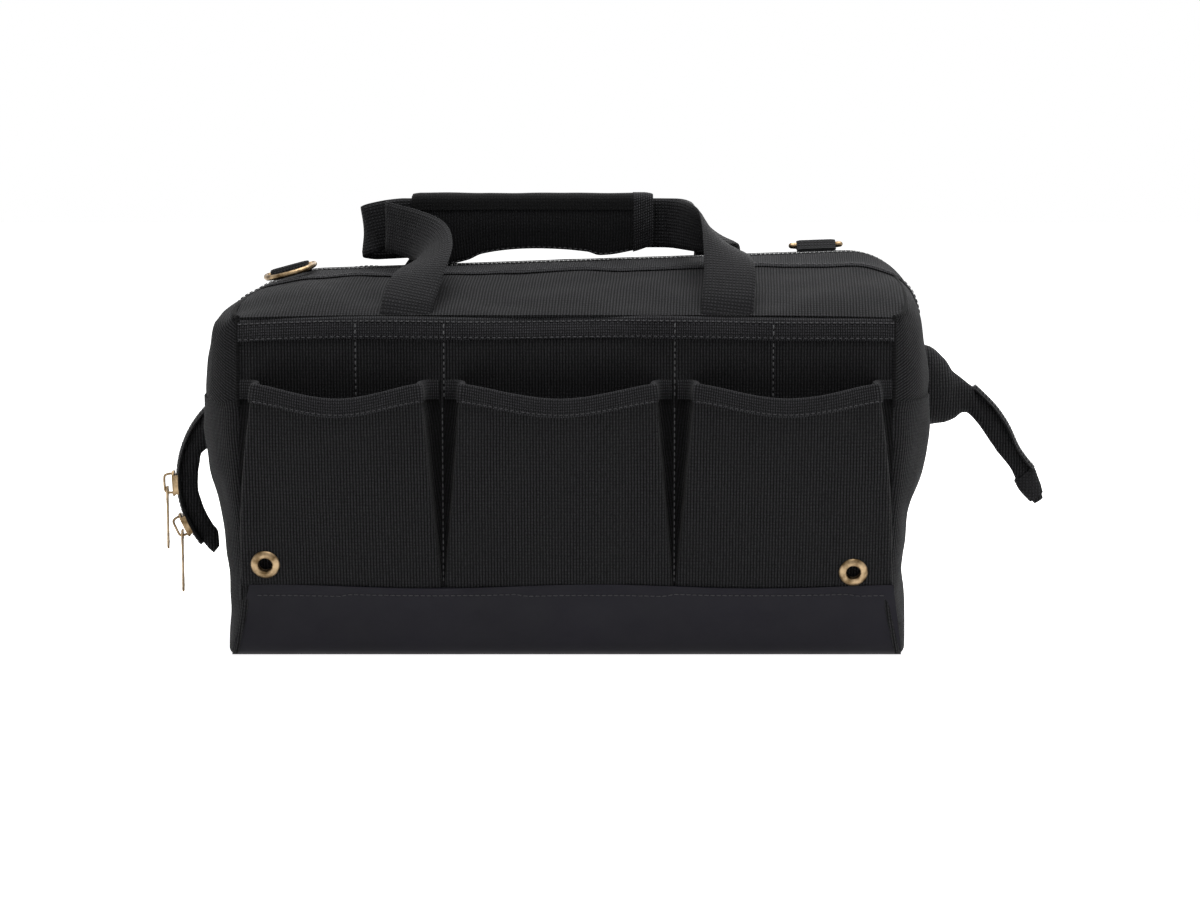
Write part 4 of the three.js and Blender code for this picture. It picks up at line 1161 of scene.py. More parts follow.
def pocketPoint(seams, u, v):
    x0, x1 = seams
    half = (x1 - x0) / 2
    t = min(u, 1 - u)
    inside = max(0, min(1, (t - 0.13) / 0.37))
    top = pocket["top"] - pocket["dip"] * ((1 - math.cos(math.pi * inside)) / 2) ** 0.7
    z = pocket["under"] + (top - pocket["under"]) * v
    climb = pocketClimb(z)
    deep = pocketDepth(climb)
    pleat, crown = pocket["pleat"] * climb, pocket["crown"] * climb
    # Lengths from the pocket's seam and out from the bag, from the seam, at 0, to the middle, at 0.5
    ease = ((0, 0.6), (0.03, 0.6 + 0.9 * pleat), (0.06, 0.6 + 1.2 * pleat), (0.1, 1.4 + 1.1 * pleat),
            (0.12, pleat + 2.6), (0.14, pleat + 4.4), (0.17, pleat + 8), (0.33, (pleat + 8 + half) / 2),
            (0.5, half))
    rise = ((0, 0), (0.03, 0.05 * deep), (0.06, 0.35 * deep), (0.1, 0.8 * deep), (0.12, 0.95 * deep),
            (0.14, deep + 0.1 * climb), (0.17, deep + 0.5 * climb), (0.33, deep + 0.8 * crown),
            (0.5, deep + crown))
    fromSeam, out = profile(ease, t), profile(rise, t)
    outerSide = (u < 0.5 and x0 < -pocket["outerX"]) or (u > 0.5 and x1 > pocket["outerX"])
    pull = pocket["outerPull"] * outerSide * math.sin(math.pi * climb)
    fromSeam -= pull * min(1, t / 0.06) * max(0, 1 - t / 0.4)
    x = x0 + fromSeam if u < 0.5 else x1 - fromSeam
    soft = min(1, t / 0.1) * min(1, climb * 6)
    spot = Vector((x / 30, z / 44, x0 / 9))
    out += soft * (1.5 * noise.noise(spot) + 0.7 * noise.noise(spot * 2.6))
    # Soft creases fall from the upper corners towards the middle of the pocket
    crease = math.sin((x - (x0 + x1) / 2) / half * 5 + (pocket["top"] - z) / 26)
    out += 0.6 * soft * crease * math.exp(-((pocket["top"] - z) / 45) ** 2)
    return Vector((x, -pocket["root"] - out, z))


def bellowsPocket(way, side, place, eyelet=None):
    seams = pocketSeams[place]
    title = f"{side.capitalize()}{place.capitalize()}"

    def at(u, v):
        return pocketPoint(seams, u, v)

    inside = ((seams[0] + seams[1]) / 2, -100, 90)
    piece = clothGrid(f"pocket{title}", pocket["columns"], pocket["rows"], at, inside)
    piece.data.materials.append(canvas)
    piece.data.materials.append(shadedDuck)
    # The cloth inside the pleat is drawn darker, as painted shade in the fold
    for polygon in piece.data.polygons:
        x, y, z = polygon.center / mm
        climb = pocketClimb(z)
        near = min(x - seams[0], seams[1] - x) < 1.2 + 1.3 * pocket["pleat"] * climb
        polygon.material_index = int(near and -y - pocket["root"] < 0.8 * pocketDepth(climb))
    thicken(piece, pocket["sheet"])
    if eyelet:
        drill(piece, eyelet, (math.pi / 2, 0, 0), pocket["eyeletHole"], 20, 32)
    smooth(piece)
    piece = onSide(piece, way)
    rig.slot(piece, "canvas")
    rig.replaces(piece, f"{side}_pocket_{place}")
    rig.ride(piece, "bag_body")
    us = np.linspace(0.004, 0.996, 150)
    drop = pocket["bindingHeight"] / (pocket["top"] - pocket["under"])
    edge, below = [at(u, 1) for u in us], [at(u, 1 - drop) for u in us]
    bindEdge(f"binding{title}", edge, below, way, pocket, [f"{side}_binding_{place}"])
    low = []
    for u in np.linspace(0.13, 0.87, 60):
        p = at(u, 1 - 0.88 * drop)
        low.append(Vector((p.x, way * (abs(p.y) + pocket["bindingOut"] + 0.15), p.z)))
    rows = [stitchRow(low, Vector((0, way, 0)), 3.2, 2.3, 0.34)]
    sewMesh(f"pocketSeam{title}", rows, "bag_body", threadDark)


eyelets = {"left": (-178, -117.97, 56.85), "right": (170, -116.92, 52.12)}
for side, way in (("front", -1), ("back", 1)):
    for place in pocketSeams:
        bellowsPocket(way, side, place, eyelets.get(place) if way < 0 else None)
print("bellows pockets are ready")


# Smooth tube along points, in millimetres
def tube(name, points, radius, closed=False):
    curve = bpy.data.curves.new(name, "CURVE")
    curve.dimensions = "3D"
    curve.bevel_depth = radius * mm
    curve.bevel_resolution = 4
    spline = curve.splines.new("POLY")
    spline.points.add(len(points) - 1)
    for spot, p in zip(spline.points, points):
        spot.co = (*(p * mm), 1)
    spline.use_cyclic_u = closed
    curve.use_fill_caps = not closed
    piece = bpy.data.objects.new(name, curve)
    bpy.context.scene.collection.objects.link(piece)
    takeUp(piece)
    bpy.ops.object.convert(target="MESH")
    bpy.ops.object.shade_smooth()
    return bpy.context.object


# Turned part: a profile of (radius, height) points spun about the local Z axis, then placed
def spun(name, profilePoints, matrix, steps, closed=False):
    count = len(profilePoints)
    edges = [(i, i + 1) for i in range(count - 1)] + ([(count - 1, 0)] if closed else [])
    piece = meshPiece(name, [Vector((r, 0, h)) for r, h in profilePoints], [], edges)
    applyModifier(
        piece, "SCREW", steps=steps, render_steps=steps, use_merge_vertices=True, merge_threshold=1e-6)
    turnOutwards(piece)
    piece.data.transform(matrix)
    smooth(piece, 60)
    return piece


# Surface between two edges: an oval section whose width runs from one edge to the other
def loftBetween(name, outer, inner, thicks, power, sides):
    section = []
    for turn in np.linspace(0, 2 * math.pi, sides, endpoint=False):
        c, s = math.cos(turn), math.sin(turn)
        section.append((math.copysign(abs(c) ** (2 / power), c), math.copysign(abs(s) ** (2 / power), s)))
    frames = [((a + b) / 2, (a - b) / 2, Vector((0, t / 2, 0))) for a, b, t in zip(outer, inner, thicks)]
    piece = sweepSection(name, section, frames)
    layer = piece.data.uv_layers.active
    for polygon in piece.data.polygons:
        for loop in polygon.loop_indices:
            p = piece.data.vertices[piece.data.loops[loop].vertex_index].co / mm
            layer.data[loop].uv = (p.x, p.z)
    smooth(piece, 60)
    return piece


# Zip: tape and moulded teeth along the mouth line, front and back

zipSizes = {
    "leftEnd": 3.0, "rightEnd": 12.0, "tapeFrom": 3.5, "tapeTo": 14.4, "low": 2.75, "high": 3.85,
    "pitch": 2.8, "toothLength": 1.5, "tailPitch": 1.4,
}
# A tooth from its foot, on the tape, to its head, past the middle: depth, length share, low and high
mouthTooth = ((3.4, 1.0, 2.5, 4.8), (1.6, 0.85, 2.5, 5.2), (0.3, 1.15, 2.7, 5.3), (-0.75, 0.75, 3.0, 4.9))
tailTooth = ((3.4, 1.0, 0, 2.4), (1.6, 0.85, 0, 2.8), (0.3, 1.15, 0.2, 3.0), (-0.75, 0.75, 0.5, 2.5))


def zipTapePiece(way, side):
    runs = np.linspace(zipSizes["leftEnd"], mouthLength - zipSizes["rightEnd"], 260)
    frames = []
    for run in runs:
        x, z, nx, nz = mouthAt(run)
        frames.append((Vector((x, 0, z)), Vector((0, way, 0)), Vector((nx, 0, nz))))
    start, end, low, high = (zipSizes[key] for key in ("tapeFrom", "tapeTo", "low", "high"))
    section = [(start, low), (end, low - 0.3), (end + 0.2, high - 0.2), (end - 0.8, high + 0.25),
               (end - 2.2, high + 0.15), (start + 2, high), (start + 1, high + 0.5), (start, high)]
    piece = sweepSection(f"zipTape{side.capitalize()}", section, frames)
    smooth(piece, 35)
    return finish(piece, zipTape, "zip", f"{side}_mouth", [f"{side}_zip_tape"])


def toothRings(shape, at, way, travel, out):
    rings = []
    for y, share, low, high in shape:
        half = share * zipSizes["toothLength"] / 2
        middle = at + Vector((0, way * y, 0))
        corners = ((-half, low), (half, low), (half, high - 0.5), (half - 0.3, high), (0.3 - half, high),
                   (-half, high - 0.5))
        rings.append([middle + travel * a + out * b for a, b in corners])
    return rings


def mouthToothRings(way, run):
    x, z, nx, nz = mouthAt(run)
    return toothRings(mouthTooth, Vector((x, 0, z)), way, Vector((nz, 0, -nx)), Vector((nx, 0, nz)))


def teethMesh(name, teeth):
    points, faces = [], []
    for rings in teeth:
        faces += tubeFaces(len(points), len(rings), len(rings[0]))
        for ring in rings:
            points.extend(ring)
    piece = meshPiece(name, points, faces)
    turnOutwards(piece)
    smooth(piece, 40)
    return piece


for way, side in ((-1, "front"), (1, "back")):
    zipTapePiece(way, side)
    start = zipSizes["leftEnd"] + (1.4 if way < 0 else 2.8)
    runs = np.arange(start, mouthLength - zipSizes["rightEnd"] - 1, zipSizes["pitch"])
    piece = teethMesh(f"zipTeeth{side.capitalize()}", [mouthToothRings(way, run) for run in runs])
    finish(piece, acetal, "zip", f"{side}_mouth", [f"{side}_zip_teeth"])
print("zip is ready")


# Handles: one strap on each side, sewn in behind the slip pocket, each leg turning through a quarter twist

handle = {
    "legX": 94.5, "width": 30, "thick": 2.2, "footY": 104.3, "footZ": 180, "seamY": 108.2, "seamZ": 201,
    "top": 253.5, "legLow": 152, "y": 2.5, "steps": 80,
    # Points of each loop from the foot to the grip: x, depth, height, and twist from flat, 0, to on edge, 1
    "left": ((-94.5, 108.2, 203.5, 0), (-92.5, 103.5, 214, 0), (-87.5, 91, 227, 0.1), (-82, 72, 236.5, 0.3),
             (-83, 49, 243, 0.6), (-93, 29, 247, 0.86), (-105, 16.5, 250, 1), (-112, 9.5, 251.6, 1),
             (-110, 3.8, 252.6, 1), (-103, 2.5, 253.3, 1), (-96, 2.5, 253.5, 1)),
    "right": ((94.5, 108.2, 203.5, 0), (96, 103.5, 216, 0), (97, 91, 231, 0.08), (95, 73, 242.5, 0.3),
              (88, 50, 249, 0.6), (78, 28, 251.5, 0.86), (69, 11, 253, 1), (63, 3.6, 253.4, 1),
              (58, 2.5, 253.5, 1)),
    "loopX": 86, "loopWide": 20, "loopSag": 0.35, "backLoop": 15,
}


# A place on a leg from its foot, 0, to the grip, 1. More is how far the left loop falls further out
def handleStation(side, s, more=0):
    points = handle["left" if side < 0 else "right"]
    at = s * (len(points) - 1)
    x, depth, z, turned = (profile([(i, p[k]) for i, p in enumerate(points)], at) for k in range(4))
    if side < 0:
        loop = max(0, min(1, (-x - handle["loopX"]) / handle["loopWide"]))
        x -= more * loop
        z -= handle["loopSag"] * more * loop * min(1, (1 - s) / 0.3)
    twist = turned * math.pi / 2
    return Vector((x, -depth, z)), Vector((-side * math.cos(twist), 0, math.sin(twist)))


def handlePath(more):
    h = handle
    foot = ((h["footZ"], h["footY"]), (h["seamZ"], h["seamY"]))
    left, right = h["left"][-1][0], h["right"][-1][0]
    legs = [(profile(foot, z), z) for z in np.linspace(h["legLow"], h["seamZ"], 14)]
    stations = [(Vector((-h["legX"], -y, z)), Vector((1, 0, 0))) for y, z in legs]
    stations += [handleStation(-1, s, more) for s in np.linspace(0, 1, h["steps"])]
    for x in np.linspace(left, right, 26)[1:-1]:
        stations.append((Vector((x, -h["y"], h["top"])), Vector((0, 0, 1))))
    stations += [handleStation(1, s) for s in np.linspace(1, 0, h["steps"])]
    stations += [(Vector((h["legX"], -y, z)), Vector((-1, 0, 0))) for y, z in reversed(legs)]
    return stations


def webbingSection(width, thick):
    w, t = width / 2, thick / 2
    upperSide = [(a, t * (1 - abs(a / w) ** 14 * 0.6)) for a in np.linspace(w, -w, 13)]
    return [(-w - 0.25, 0)] + [(a, -b) for a, b in reversed(upperSide)] + [(w + 0.25, 0)] + upperSide


# The back strap's left loop falls further out, as the photograph shows
def handleStrap(name, more=0):
    stations = handlePath(more)
    frames = framesAlong([at for at, _ in stations], [across for _, across in stations])
    piece = sweepSection(name, webbingSection(handle["width"], handle["thick"]), frames)
    smooth(piece, 60)
    return piece


frontStrap = handleStrap("handleStrapFront")
farStrap = handleStrap("handleStrapFar", handle["backLoop"])
backStrap = mirrorCopy(farStrap, "handleStrapBack")
bpy.data.objects.remove(farStrap)
for piece, side in ((frontStrap, "front"), (backStrap, "back")):
    finish(piece, webbing, "webbing", None,
           [f"{side}_handle_strap", f"{side}_left_strap_leg", f"{side}_right_strap_leg"])
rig.blend(frontStrap, "bag_body", "front_handle", (0, -0.1043, 0.2005), (0, -0.1043, 0.2135))
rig.blend(backStrap, "bag_body", "back_handle", (0, 0.1043, 0.2005), (0, 0.1043, 0.2135))
print("handles are ready")


# Grip: a foam pad and a canvas wrap round both straps

grip = {
    "left": -97, "right": 53, "top": 271.5, "front": -11.6, "back": 7.4, "sheet": 2.0, "bandFrom": 40.5,
    "strip": 1.0, "band": 0.9, "backSheet": 3.0, "padLow": (-92, -8.6, 238), "padHigh": (48, -5.0, 267),
    "padCell": 2.0, "quickCell": 2.4, "padMove": 1.1, "padSteps": 20, "pressure": 4, "core": (-22, -2, 254),
}
# Height of the grip's lower edge by x
gripLow = ((-97, 229), (-81, 227.4), (-62, 231), (-54, 234.4), (-37, 237), (-15, 238), (12, 236.2),
           (20, 234), (40, 236.5), (53, 241))


def gripSection(x):
    g = grip
    low = profile(gripLow, x)
    end = min(1, (x - g["left"]) / 5, (g["right"] - x) / 5)
    tuck = 1.1 * (1 - math.sqrt(max(0, end)))
    f, t = g["front"] + tuck, g["top"] - tuck
    over = [(g["back"] + 0.9, t - 4.8), (g["back"] + 0.5, t - 2.2), (g["back"] - 2.4, t - 0.5), (2, t),
            (-4, t + 0.1), (f + 3.2, t - 0.7), (f + 0.7, t - 3)]
    return over + [(f, t - 7), (f - 0.5, t - 14), (f - 0.6, t - 20), (f - 0.2, (t + low) / 2 - 8),
                   (f + 0.3, low + 3), (f + 0.9, low)]


def gripPlace(u, v, out=0.0):
    x = grip["left"] + (grip["right"] - grip["left"]) * u
    points = gripSection(x)
    steps = len(points) - 1
    y = profile([(i, p[0]) for i, p in enumerate(points)], v * steps)
    z = profile([(i, p[1]) for i, p in enumerate(points)], v * steps)
    spot = Vector((x / 26, v * 2.2, 5))
    puff = 0.7 * noise.noise(spot) * min(1, v * 4) + out
    away = Vector((0, y + 1.9, z - grip["core"][2])).normalized()
    return Vector((x, y, z)) + away * puff


# The wrap's layers: each is a sheet that faces away from a place inside the grip
def gripSheet(name, columns, rows, place, inside, thickness, material, nodes=()):
    piece = clothGrid(name, columns, rows, place, inside)
    thicken(piece, thickness)
    smooth(piece)
    return finish(piece, material, "canvas", "grip_wrap", nodes)


def gripCover():
    def place(u, v):
        return gripPlace(u, 1 - v)

    gripSheet("gripWrap", 96, 34, place, grip["core"], grip["sheet"], wrapCloth, ["grip_flap"])


def gripTop():
    def place(u, v):
        return gripPlace(u * 0.985 + 0.004, 0.62 - 0.54 * v, 0.7)

    gripSheet("gripTopStrip", 96, 14, place, grip["core"], grip["strip"], stripCloth)


def gripEndBand():
    start = (grip["bandFrom"] - grip["left"]) / (grip["right"] - grip["left"])

    def place(u, v):
        return gripPlace(start + (1 - start) * u, 1 - v, 1.0)

    gripSheet("gripEndBand", 14, 34, place, (46, -2, 254), grip["band"], bindingCloth)


# Back half of the wrap, which stays on the back strap
def gripBack():
    g = grip

    def place(u, v):
        x = g["left"] + (g["right"] - g["left"]) * u
        low = profile(gripLow, x) + 1.5
        z = low + (g["top"] - 6.4 - low) * v
        belly = 0.7 * math.sin(math.pi * v) + 0.5 * noise.noise(Vector((x / 26, v * 2, 9)))
        return Vector((x, g["back"] + belly, z))

    piece = clothGrid("gripBackPanel", 80, 16, place, (-22, 0, 254))
    thicken(piece, g["backSheet"])
    smooth(piece)
    finish(piece, wrapCloth, "canvas", "back_handle", ["grip_back"])
    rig.padded(piece, fill=0.6)


# The pad is blown up like a cushion by a short cloth simulation, and no point may move far
def gripPad():
    low, high = Vector(grip["padLow"]), Vector(grip["padHigh"])
    deselectAll()
    bpy.ops.mesh.primitive_cube_add(size=1, location=(low + high) / 2 * mm)
    piece = bpy.context.object
    piece.name = "gripPad"
    piece.scale = (high - low) * mm
    settle(piece)
    cell = grip["quickCell"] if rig.quick() else grip["padCell"]
    applyModifier(piece, "REMESH", mode="VOXEL", voxel_size=cell * mm)
    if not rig.quick():
        before = [v.co.copy() for v in piece.data.vertices]
        takeUp(piece)
        cloth = piece.modifiers.new("cloth", "CLOTH")
        cloth.settings.use_pressure = True
        cloth.settings.uniform_pressure_force = grip["pressure"]
        cloth.settings.effector_weights.gravity = 0
        cloth.point_cache.frame_end = grip["padSteps"]
        for step in range(1, grip["padSteps"] + 1):
            bpy.context.scene.frame_set(step)
        bpy.ops.object.modifier_apply(modifier="cloth")
        for vertex, start in zip(piece.data.vertices, before):
            move = vertex.co - start
            if move.length > grip["padMove"] * mm:
                vertex.co = start + move.normalized() * grip["padMove"] * mm
        bpy.context.scene.frame_set(1)
    applyModifier(piece, "SUBSURF", levels=1)
    takeUp(piece)
    bpy.ops.object.shade_smooth()
    finish(piece, foam, "foam", "grip_wrap", ["grip_pad"])
    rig.padded(piece, fill=0.6)


gripCover()
gripTop()
gripEndBand()
gripBack()
gripPad()
seamRow = [gripPlace(u, 0.965, 0.15) for u in np.linspace(0.01, 0.9, 60)]
seamRow = stitchRow(seamRow, Vector((0, -1, 0)), 3.2, 2.3, 0.32)
sewMesh("gripStitching", [seamRow], "grip_wrap", threadDark)
print("grip is ready")


# Eyelets: rolled brass flange and barrel in each outer front pocket

eyeletTurn = {"left": (13.33, -0.12, -1.02), "right": (14.25, 0.06, 0.52)}
eyeletProfile = [(4.1, -2.6), (4.1, 0.6), (4.5, 1.5), (5.4, 2.0), (6.6, 1.9), (7.8, 1.3), (8.6, 0.5),
                 (8.7, 0.1), (8.3, 0.0), (5.2, 0.1), (4.9, -0.6), (4.9, -2.6)]


def placed(spot, turn, local):
    x, y, z = (Matrix.Rotation(math.radians(t), 4, axis) for t, axis in zip(turn, "XYZ"))
    return Matrix.Translation(Vector(spot) * mm) @ (x @ y @ z) @ local


for place, spot in eyelets.items():
    upright = Matrix.Rotation(math.pi / 2, 4, "X") @ Matrix.Translation((0, 0, 0.5 * mm))
    matrix = placed(spot, eyeletTurn[place], upright)
    piece = spun(f"eyelet{place.capitalize()}", eyeletProfile, matrix, 48, True)
    finish(piece, brass, "brass", "bag_body", [f"{place}_eyelet"])


# Hinge rivets: domed heads, with a collar that holds the frame clear of the end panel

for side in (-1, 1):
    node = "right_hinge_rivet" if side > 0 else "left_hinge_rivet"
    low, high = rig.box(node)
    outer = max(abs(low.x), abs(high.x)) / mm
    inner = min(abs(low.x), abs(high.x)) / mm
    middle = (low + high) / 2 / mm
    face = outer - 1.4
    shape = [(0, outer + 0.7), (1.8, outer + 0.5), (3.4, outer), (4.5, face + 0.4), (4.6, face), (2.4, face),
             (2.4, face - 2.9), (4.2, face - 2.9), (4.2, face - 7.2), (2.4, face - 7.2), (2.4, inner + 1.4),
             (4.6, inner + 1.4), (4.4, inner + 0.5), (3.0, inner), (0, inner - 0.1)]
    turn = Matrix.Translation((0, 0, middle.z * mm)) @ Matrix.Rotation(side * math.pi / 2, 4, "Y")
    piece = spun("hingeRivet" + ("Right" if side > 0 else "Left"), shape, turn, 36)
    finish(piece, steel, "steel", "bag_body", [node])


# D-rings: a round brass bar bent to a D, held by a folded tab of webbing

ring = {
    "half": 15.4, "depth": 18.4, "wire": 1.75, "droop": 5, "tabWidth": 24, "tabThick": 1.2, "tabLength": 10,
    "lift": 4.2,
}
# Place of each bar, and its turns about X, Y and Z
ringSpots = {"front": ((-172, -14.5, 224.983), (0, -15, 0)), "back": ((156, 14.5, 239.071), (0, -2, 180))}


def ringPath():
    r = ring
    bar = [Vector((x, 0, 0)) for x in np.linspace(-r["half"] + 2, r["half"] - 2, 10)]
    bow = []
    for turn in np.linspace(-0.12, math.pi + 0.12, 44):
        c, s = math.cos(turn), math.sin(turn)
        bow.append(Vector((r["half"] * math.copysign(abs(c) ** 0.8, c), -r["depth"] * max(0, s) ** 0.9, 0)))
    return bar + bow


def tabPath():
    r = ring
    bend = r["wire"] + 0.35 + r["tabThick"] / 2
    foot = -r["lift"] + r["tabThick"] / 2
    full, most = r["tabThick"], r["tabLength"]
    under = [Vector((0, y, foot)) for y in np.linspace(most, bend + 1, 8)]
    ramp = [Vector((0, bend * 0.8, foot + 0.8)), Vector((0, bend * 0.55, -bend * 0.92))]
    wrap = [Vector((0, bend * math.cos(t), bend * math.sin(t))) for t in np.linspace(-1.2, -5.0, 26)]
    over = [Vector((0, bend + 1.4, foot + full * 1.9)), Vector((0, bend + 3, foot + full * 1.15)),
            Vector((0, most * 0.93, foot + full * 1.1))]
    return resample(under, 1.0) + ramp + wrap + over


def moved(matrix, points):
    return [matrix @ (p * mm) / mm for p in points]


for side, (spot, turn) in ringSpots.items():
    title = side.capitalize()
    place = placed(spot, turn, Matrix.Identity(4))
    tilt = Matrix.Rotation(math.radians(ring["droop"]), 4, "X")
    piece = tube(f"dRing{title}", moved(place @ tilt, ringPath()), ring["wire"], True)
    finish(piece, brass, "brass", f"{side}_ring", [f"{side}_d_ring"])
    points = moved(place, tabPath())
    across = (place.to_3x3() @ Vector((1, 0, 0))).normalized()
    frames = framesAlong(points, [across] * len(points))
    piece = sweepSection(f"ringTab{title}", webbingSection(ring["tabWidth"], ring["tabThick"]), frames)
    smooth(piece, 60)
    finish(piece, webbing, "webbing", f"{side}_mouth", [f"{side}_ring_tab"])
print("metal fittings are ready")


# Tails: the folded ends of the zip beyond the bag, with the closed chain on their outer edges

# The left tail's outer edge is an arc about a centre in X and Z, from one angle to another
tail = {
    "centre": (-180.93, 91.93), "edge": 64.2, "inner": 53.0, "from": 127, "to": 222,
    "power": 2.4, "sides": 28, "tapeHalf": 8,
}


def flat(points):
    return [Vector((x, 0, z)) for x, z in points]


def smoothLine(points, count):
    spots = list(range(len(points)))
    steps = np.linspace(0, len(points) - 1, count)
    columns = [[profile(list(zip(spots, [p[k] for p in points])), s) for s in steps] for k in (0, 2)]
    return [Vector((x, 0, z)) for x, z in zip(*columns)]


def arcSpot(radius, degrees):
    a = math.radians(degrees)
    return Vector((tail["centre"][0] + radius * math.cos(a), 0, tail["centre"][1] + radius * math.sin(a)))


leftOuter = [arcSpot(tail["edge"], d) for d in np.linspace(tail["from"], tail["to"], 15)]
leftOuter += flat([(-224.6, 45.2)])
leftInner = flat([(-219.5, 113), (-223, 112.6), (-227.5, 111.6), (-230.6, 109.2)])
leftInner += [arcSpot(tail["inner"], d) for d in np.linspace(164, 219, 11)] + flat([(-221.2, 49.6)])
leftThick = [17, 15, 13, 11, 9.5, 8.5, 8, 7.6, 7.4, 7.2, 7.2, 7.4, 7.8, 7.6, 6.4, 3.2]
rightOuter = flat([
    (220, 178), (228, 176), (235.5, 169), (242.4, 160.2), (250.5, 154), (258.4, 147.3), (268.2, 137.3),
    (276, 126), (282.4, 112.5), (288.5, 103.8), (293.2, 98.2), (297, 90), (299.5, 80.5)])
rightInner = flat([
    (220, 126), (229.7, 127.3), (237.3, 128), (243, 131), (248, 134.5), (253.2, 133.3), (260.8, 123.5),
    (267, 114), (273, 106), (279, 98.5), (284.3, 88.6), (289, 82), (294.8, 76.6)])
rightThick = [34, 31, 26, 20, 15, 12, 10, 9, 8.4, 8, 8, 8, 7]


def tailCloth(name, outer, inner, thicks, count=90):
    values = [profile(list(enumerate(thicks)), s) for s in np.linspace(0, len(thicks) - 1, count)]
    edges = smoothLine(outer, count), smoothLine(inner, count)
    piece = loftBetween(name, *edges, values, tail["power"], tail["sides"])
    crumple(piece, 0.9, 15, 4.4)
    return piece


# Closed teeth on a strip of tape. Low is how far the tape lies above the path
def edgeChain(name, path, body, node, low):
    frames, teeth = [], []
    spots = resample(path, zipSizes["tailPitch"])
    for i, at in enumerate(spots[1:-1], 1):
        travel = (spots[i + 1] - spots[i - 1]).normalized()
        out = Vector((-travel.z, 0, travel.x))
        if out.dot(at - Vector((0, 0, 120))) < 0:
            out = -out
        frames.append((at, Vector((0, 1, 0)), out))
        teeth.append(toothRings(tailTooth, at + out * low, -1 if i % 2 else 1, travel, out))
    half = tail["tapeHalf"]
    under = [(-half, low - 0.2), (half, low - 0.2), (half + 0.2, low + 0.5)]
    section = under + [(half - 1.5, low + 0.9), (1.5 - half, low + 0.9), (-half - 0.2, low + 0.5)]
    tape = sweepSection(f"{name}Tape", section, frames)
    smooth(tape, 40)
    finish(tape, zipTape, "zip", body)
    piece = teethMesh(f"{name}Teeth", teeth)
    finish(piece, acetal, "zip", body, [node])


leftTail = tailCloth("leftTail", leftOuter, leftInner, leftThick)
finish(leftTail, canvas, "canvas", None, ["left_tail"])
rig.blend(leftTail, "bag_body", "left_tail_end", (-0.2205, 0, 0.13), (-0.2310, 0, 0.13))
leftEdge = [arcSpot(tail["edge"], d) for d in np.linspace(133, 219.5, 60)]
edgeChain("leftTail", leftEdge, "left_tail_end", "left_tail_chain", -0.3)
rightTail = tailCloth("rightTail", rightOuter, rightInner, rightThick)
finish(rightTail, canvas, "canvas", None, ["right_tail"])
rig.blend(rightTail, "bag_body", "right_tail_end", (0.2225, 0, 0.15), (0.2400, 0, 0.15))
rightEdge = smoothLine(rightOuter, 120)
edgeChain("rightTail", rightEdge[44:100], "right_tail_end", "right_tail_chain", -0.7)
# A folded tab over the right tail's tip, proud of the tail on both edges
proud = Vector((1.1, 0, 0.7))
tabOuter = [p + proud for p in rightEdge[96:120:5]]
tabInner = [p - proud for p in smoothLine(rightInner, 120)[96:120:5]]
tab = tailCloth("rightTailTab", tabOuter, tabInner, [9.5, 10, 10, 9.6, 8], 24)
finish(tab, webbing, "webbing", "right_tail_end")
print("tails are ready")


# Sliders and pulls: cast brass


def prism(name, outline, low, high, bevel):
    count = len(outline)
    points = [Vector((x, y, z)) for x in (low, high) for y, z in outline]
    faces = [tuple(reversed(range(count))), tuple(range(count, 2 * count))]
    faces += [(i, (i + 1) % count, (i + 1) % count + count, i + count) for i in range(count)]
    piece = meshPiece(name, points, faces)
    turnOutwards(piece)
    applyModifier(piece, "BEVEL", width=bevel * mm, segments=3, limit_method="ANGLE")
    return piece


def joined(name, pieces):
    deselectAll()
    for piece in pieces:
        piece.select_set(True)
    bpy.context.view_layer.objects.active = pieces[0]
    bpy.ops.object.join()
    pieces[0].name = name
    smooth(pieces[0], 40)
    return pieces[0]


# Outlines in Y and Z, and the crown's line in X and Z
slider = {
    "plate": 1.5, "flangeLow": -0.6, "flangeHigh": 3.0, "crownWire": 0.82,
    "outline": ((-3.0, 8), (3.0, 8), (5.2, 5.2), (5.0, 0.5), (4.3, -7), (3.4, -8), (-3.4, -8), (-4.3, -7),
                (-5.0, 0.5), (-5.2, 5.2)),
    "flange": ((5.2, 5.2), (5.0, 0.5), (4.3, -7), (3.0, -7), (3.7, 0.5), (3.8, 5.2)),
    "crown": ((-1.0, -6.1), (-3.6, -6.0), (-5.6, -5.5), (-6.7, -4.2), (-6.9, 0), (-6.7, 4.2), (-5.6, 5.5),
              (-3.6, 6.0), (-1.0, 6.1)),
}


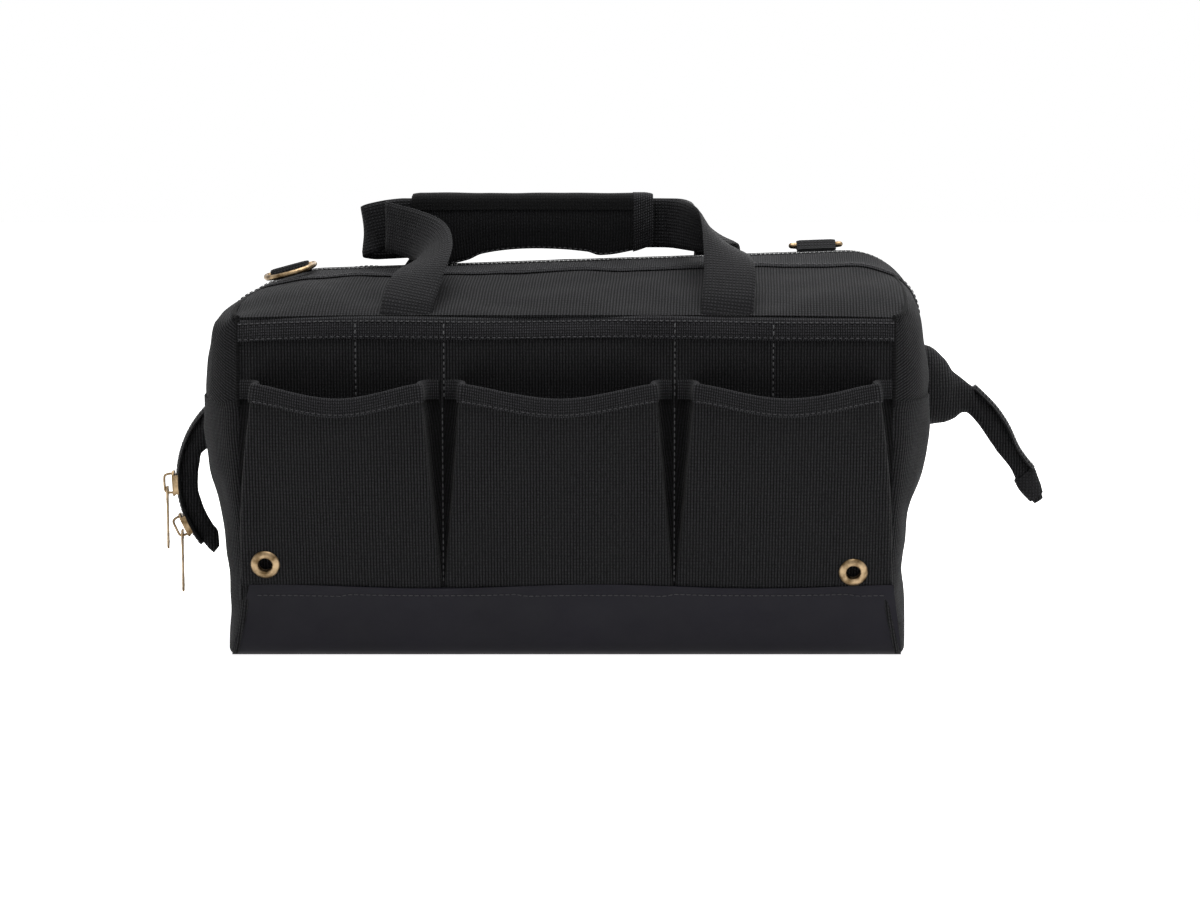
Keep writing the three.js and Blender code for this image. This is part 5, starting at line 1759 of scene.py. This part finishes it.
def sliderPiece(name, matrix, body, node):
    pieces = [prism("plate", slider["outline"], -slider["plate"], 0, 0.45)]
    for way in (1, -1):
        flange = [(way * y, z) for y, z in slider["flange"]]
        pieces.append(prism("flange", flange, slider["flangeLow"], slider["flangeHigh"], 0.3))
    pieces.append(tube("crown", smoothLine(flat(slider["crown"]), 40), slider["crownWire"]))
    piece = joined(name, pieces)
    piece.data.transform(matrix)
    finish(piece, brass, "brass", body, [node])


# A pull is alike on both sides. Holes are their height, radius and stretch
pull = {
    "half": 0.6, "side": ((2.4, 4.1), (3.4, 2.6), (3.5, -3), (2.3, -8), (1.7, -16), (1.9, -24), (2.7, -30),
                          (2.6, -34), (1.5, -35.9)),
    "holes": ((0, 1.5, 1.6), (-31.5, 1.2, 1.0)),
}


def pullPiece(name, spot, body, node):
    first, *rest = pull["side"]
    outline = [(-first[0], first[1]), first, *rest] + [(-y, z) for y, z in reversed(rest)]
    piece = prism(name, outline, -pull["half"], pull["half"], 0.28)
    for z, radius, stretch in pull["holes"]:
        drill(piece, (0, 0, z), (0, math.pi / 2, 0), radius, 6, 24, stretch)
    smooth(piece, 35)
    piece.data.transform(Matrix.Translation(Vector(spot) * mm))
    finish(piece, brass, "brass", body, [node])


# Each slider's place and lean, and its pull's place
sliderSpots = (
    ("Upper", (-248.228, 0, 89.582), -2, (-253.225, 0, 83.655)),
    ("Lower", (-241.964, 0, 63.489), -25, (-244.247, 0, 56.080)),
)
for name, spot, lean, seat in sliderSpots:
    place = placed(spot, (0, lean, 0), Matrix.Identity(4))
    sliderPiece(f"slider{name}", place, f"slider_{name.lower()}", f"{name.lower()}_slider")
    pullPiece(f"pull{name}", seat, f"pull_{name.lower()}", f"{name.lower()}_pull")
print("sliders are ready")


# CAD nodes that keep their shape: the frame rods under the zip and the board in the base
for node, material in (("front_frame_rod", steel), ("back_frame_rod", steel), ("base_board", boardSheet)):
    for place in frame["nodes"][node].material_slots:
        place.material = material


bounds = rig.bounds()
json.dump({"cad": [list(c) for c in cadBox], "visual": [list(c) for c in bounds]}, open("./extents.json", "w"))
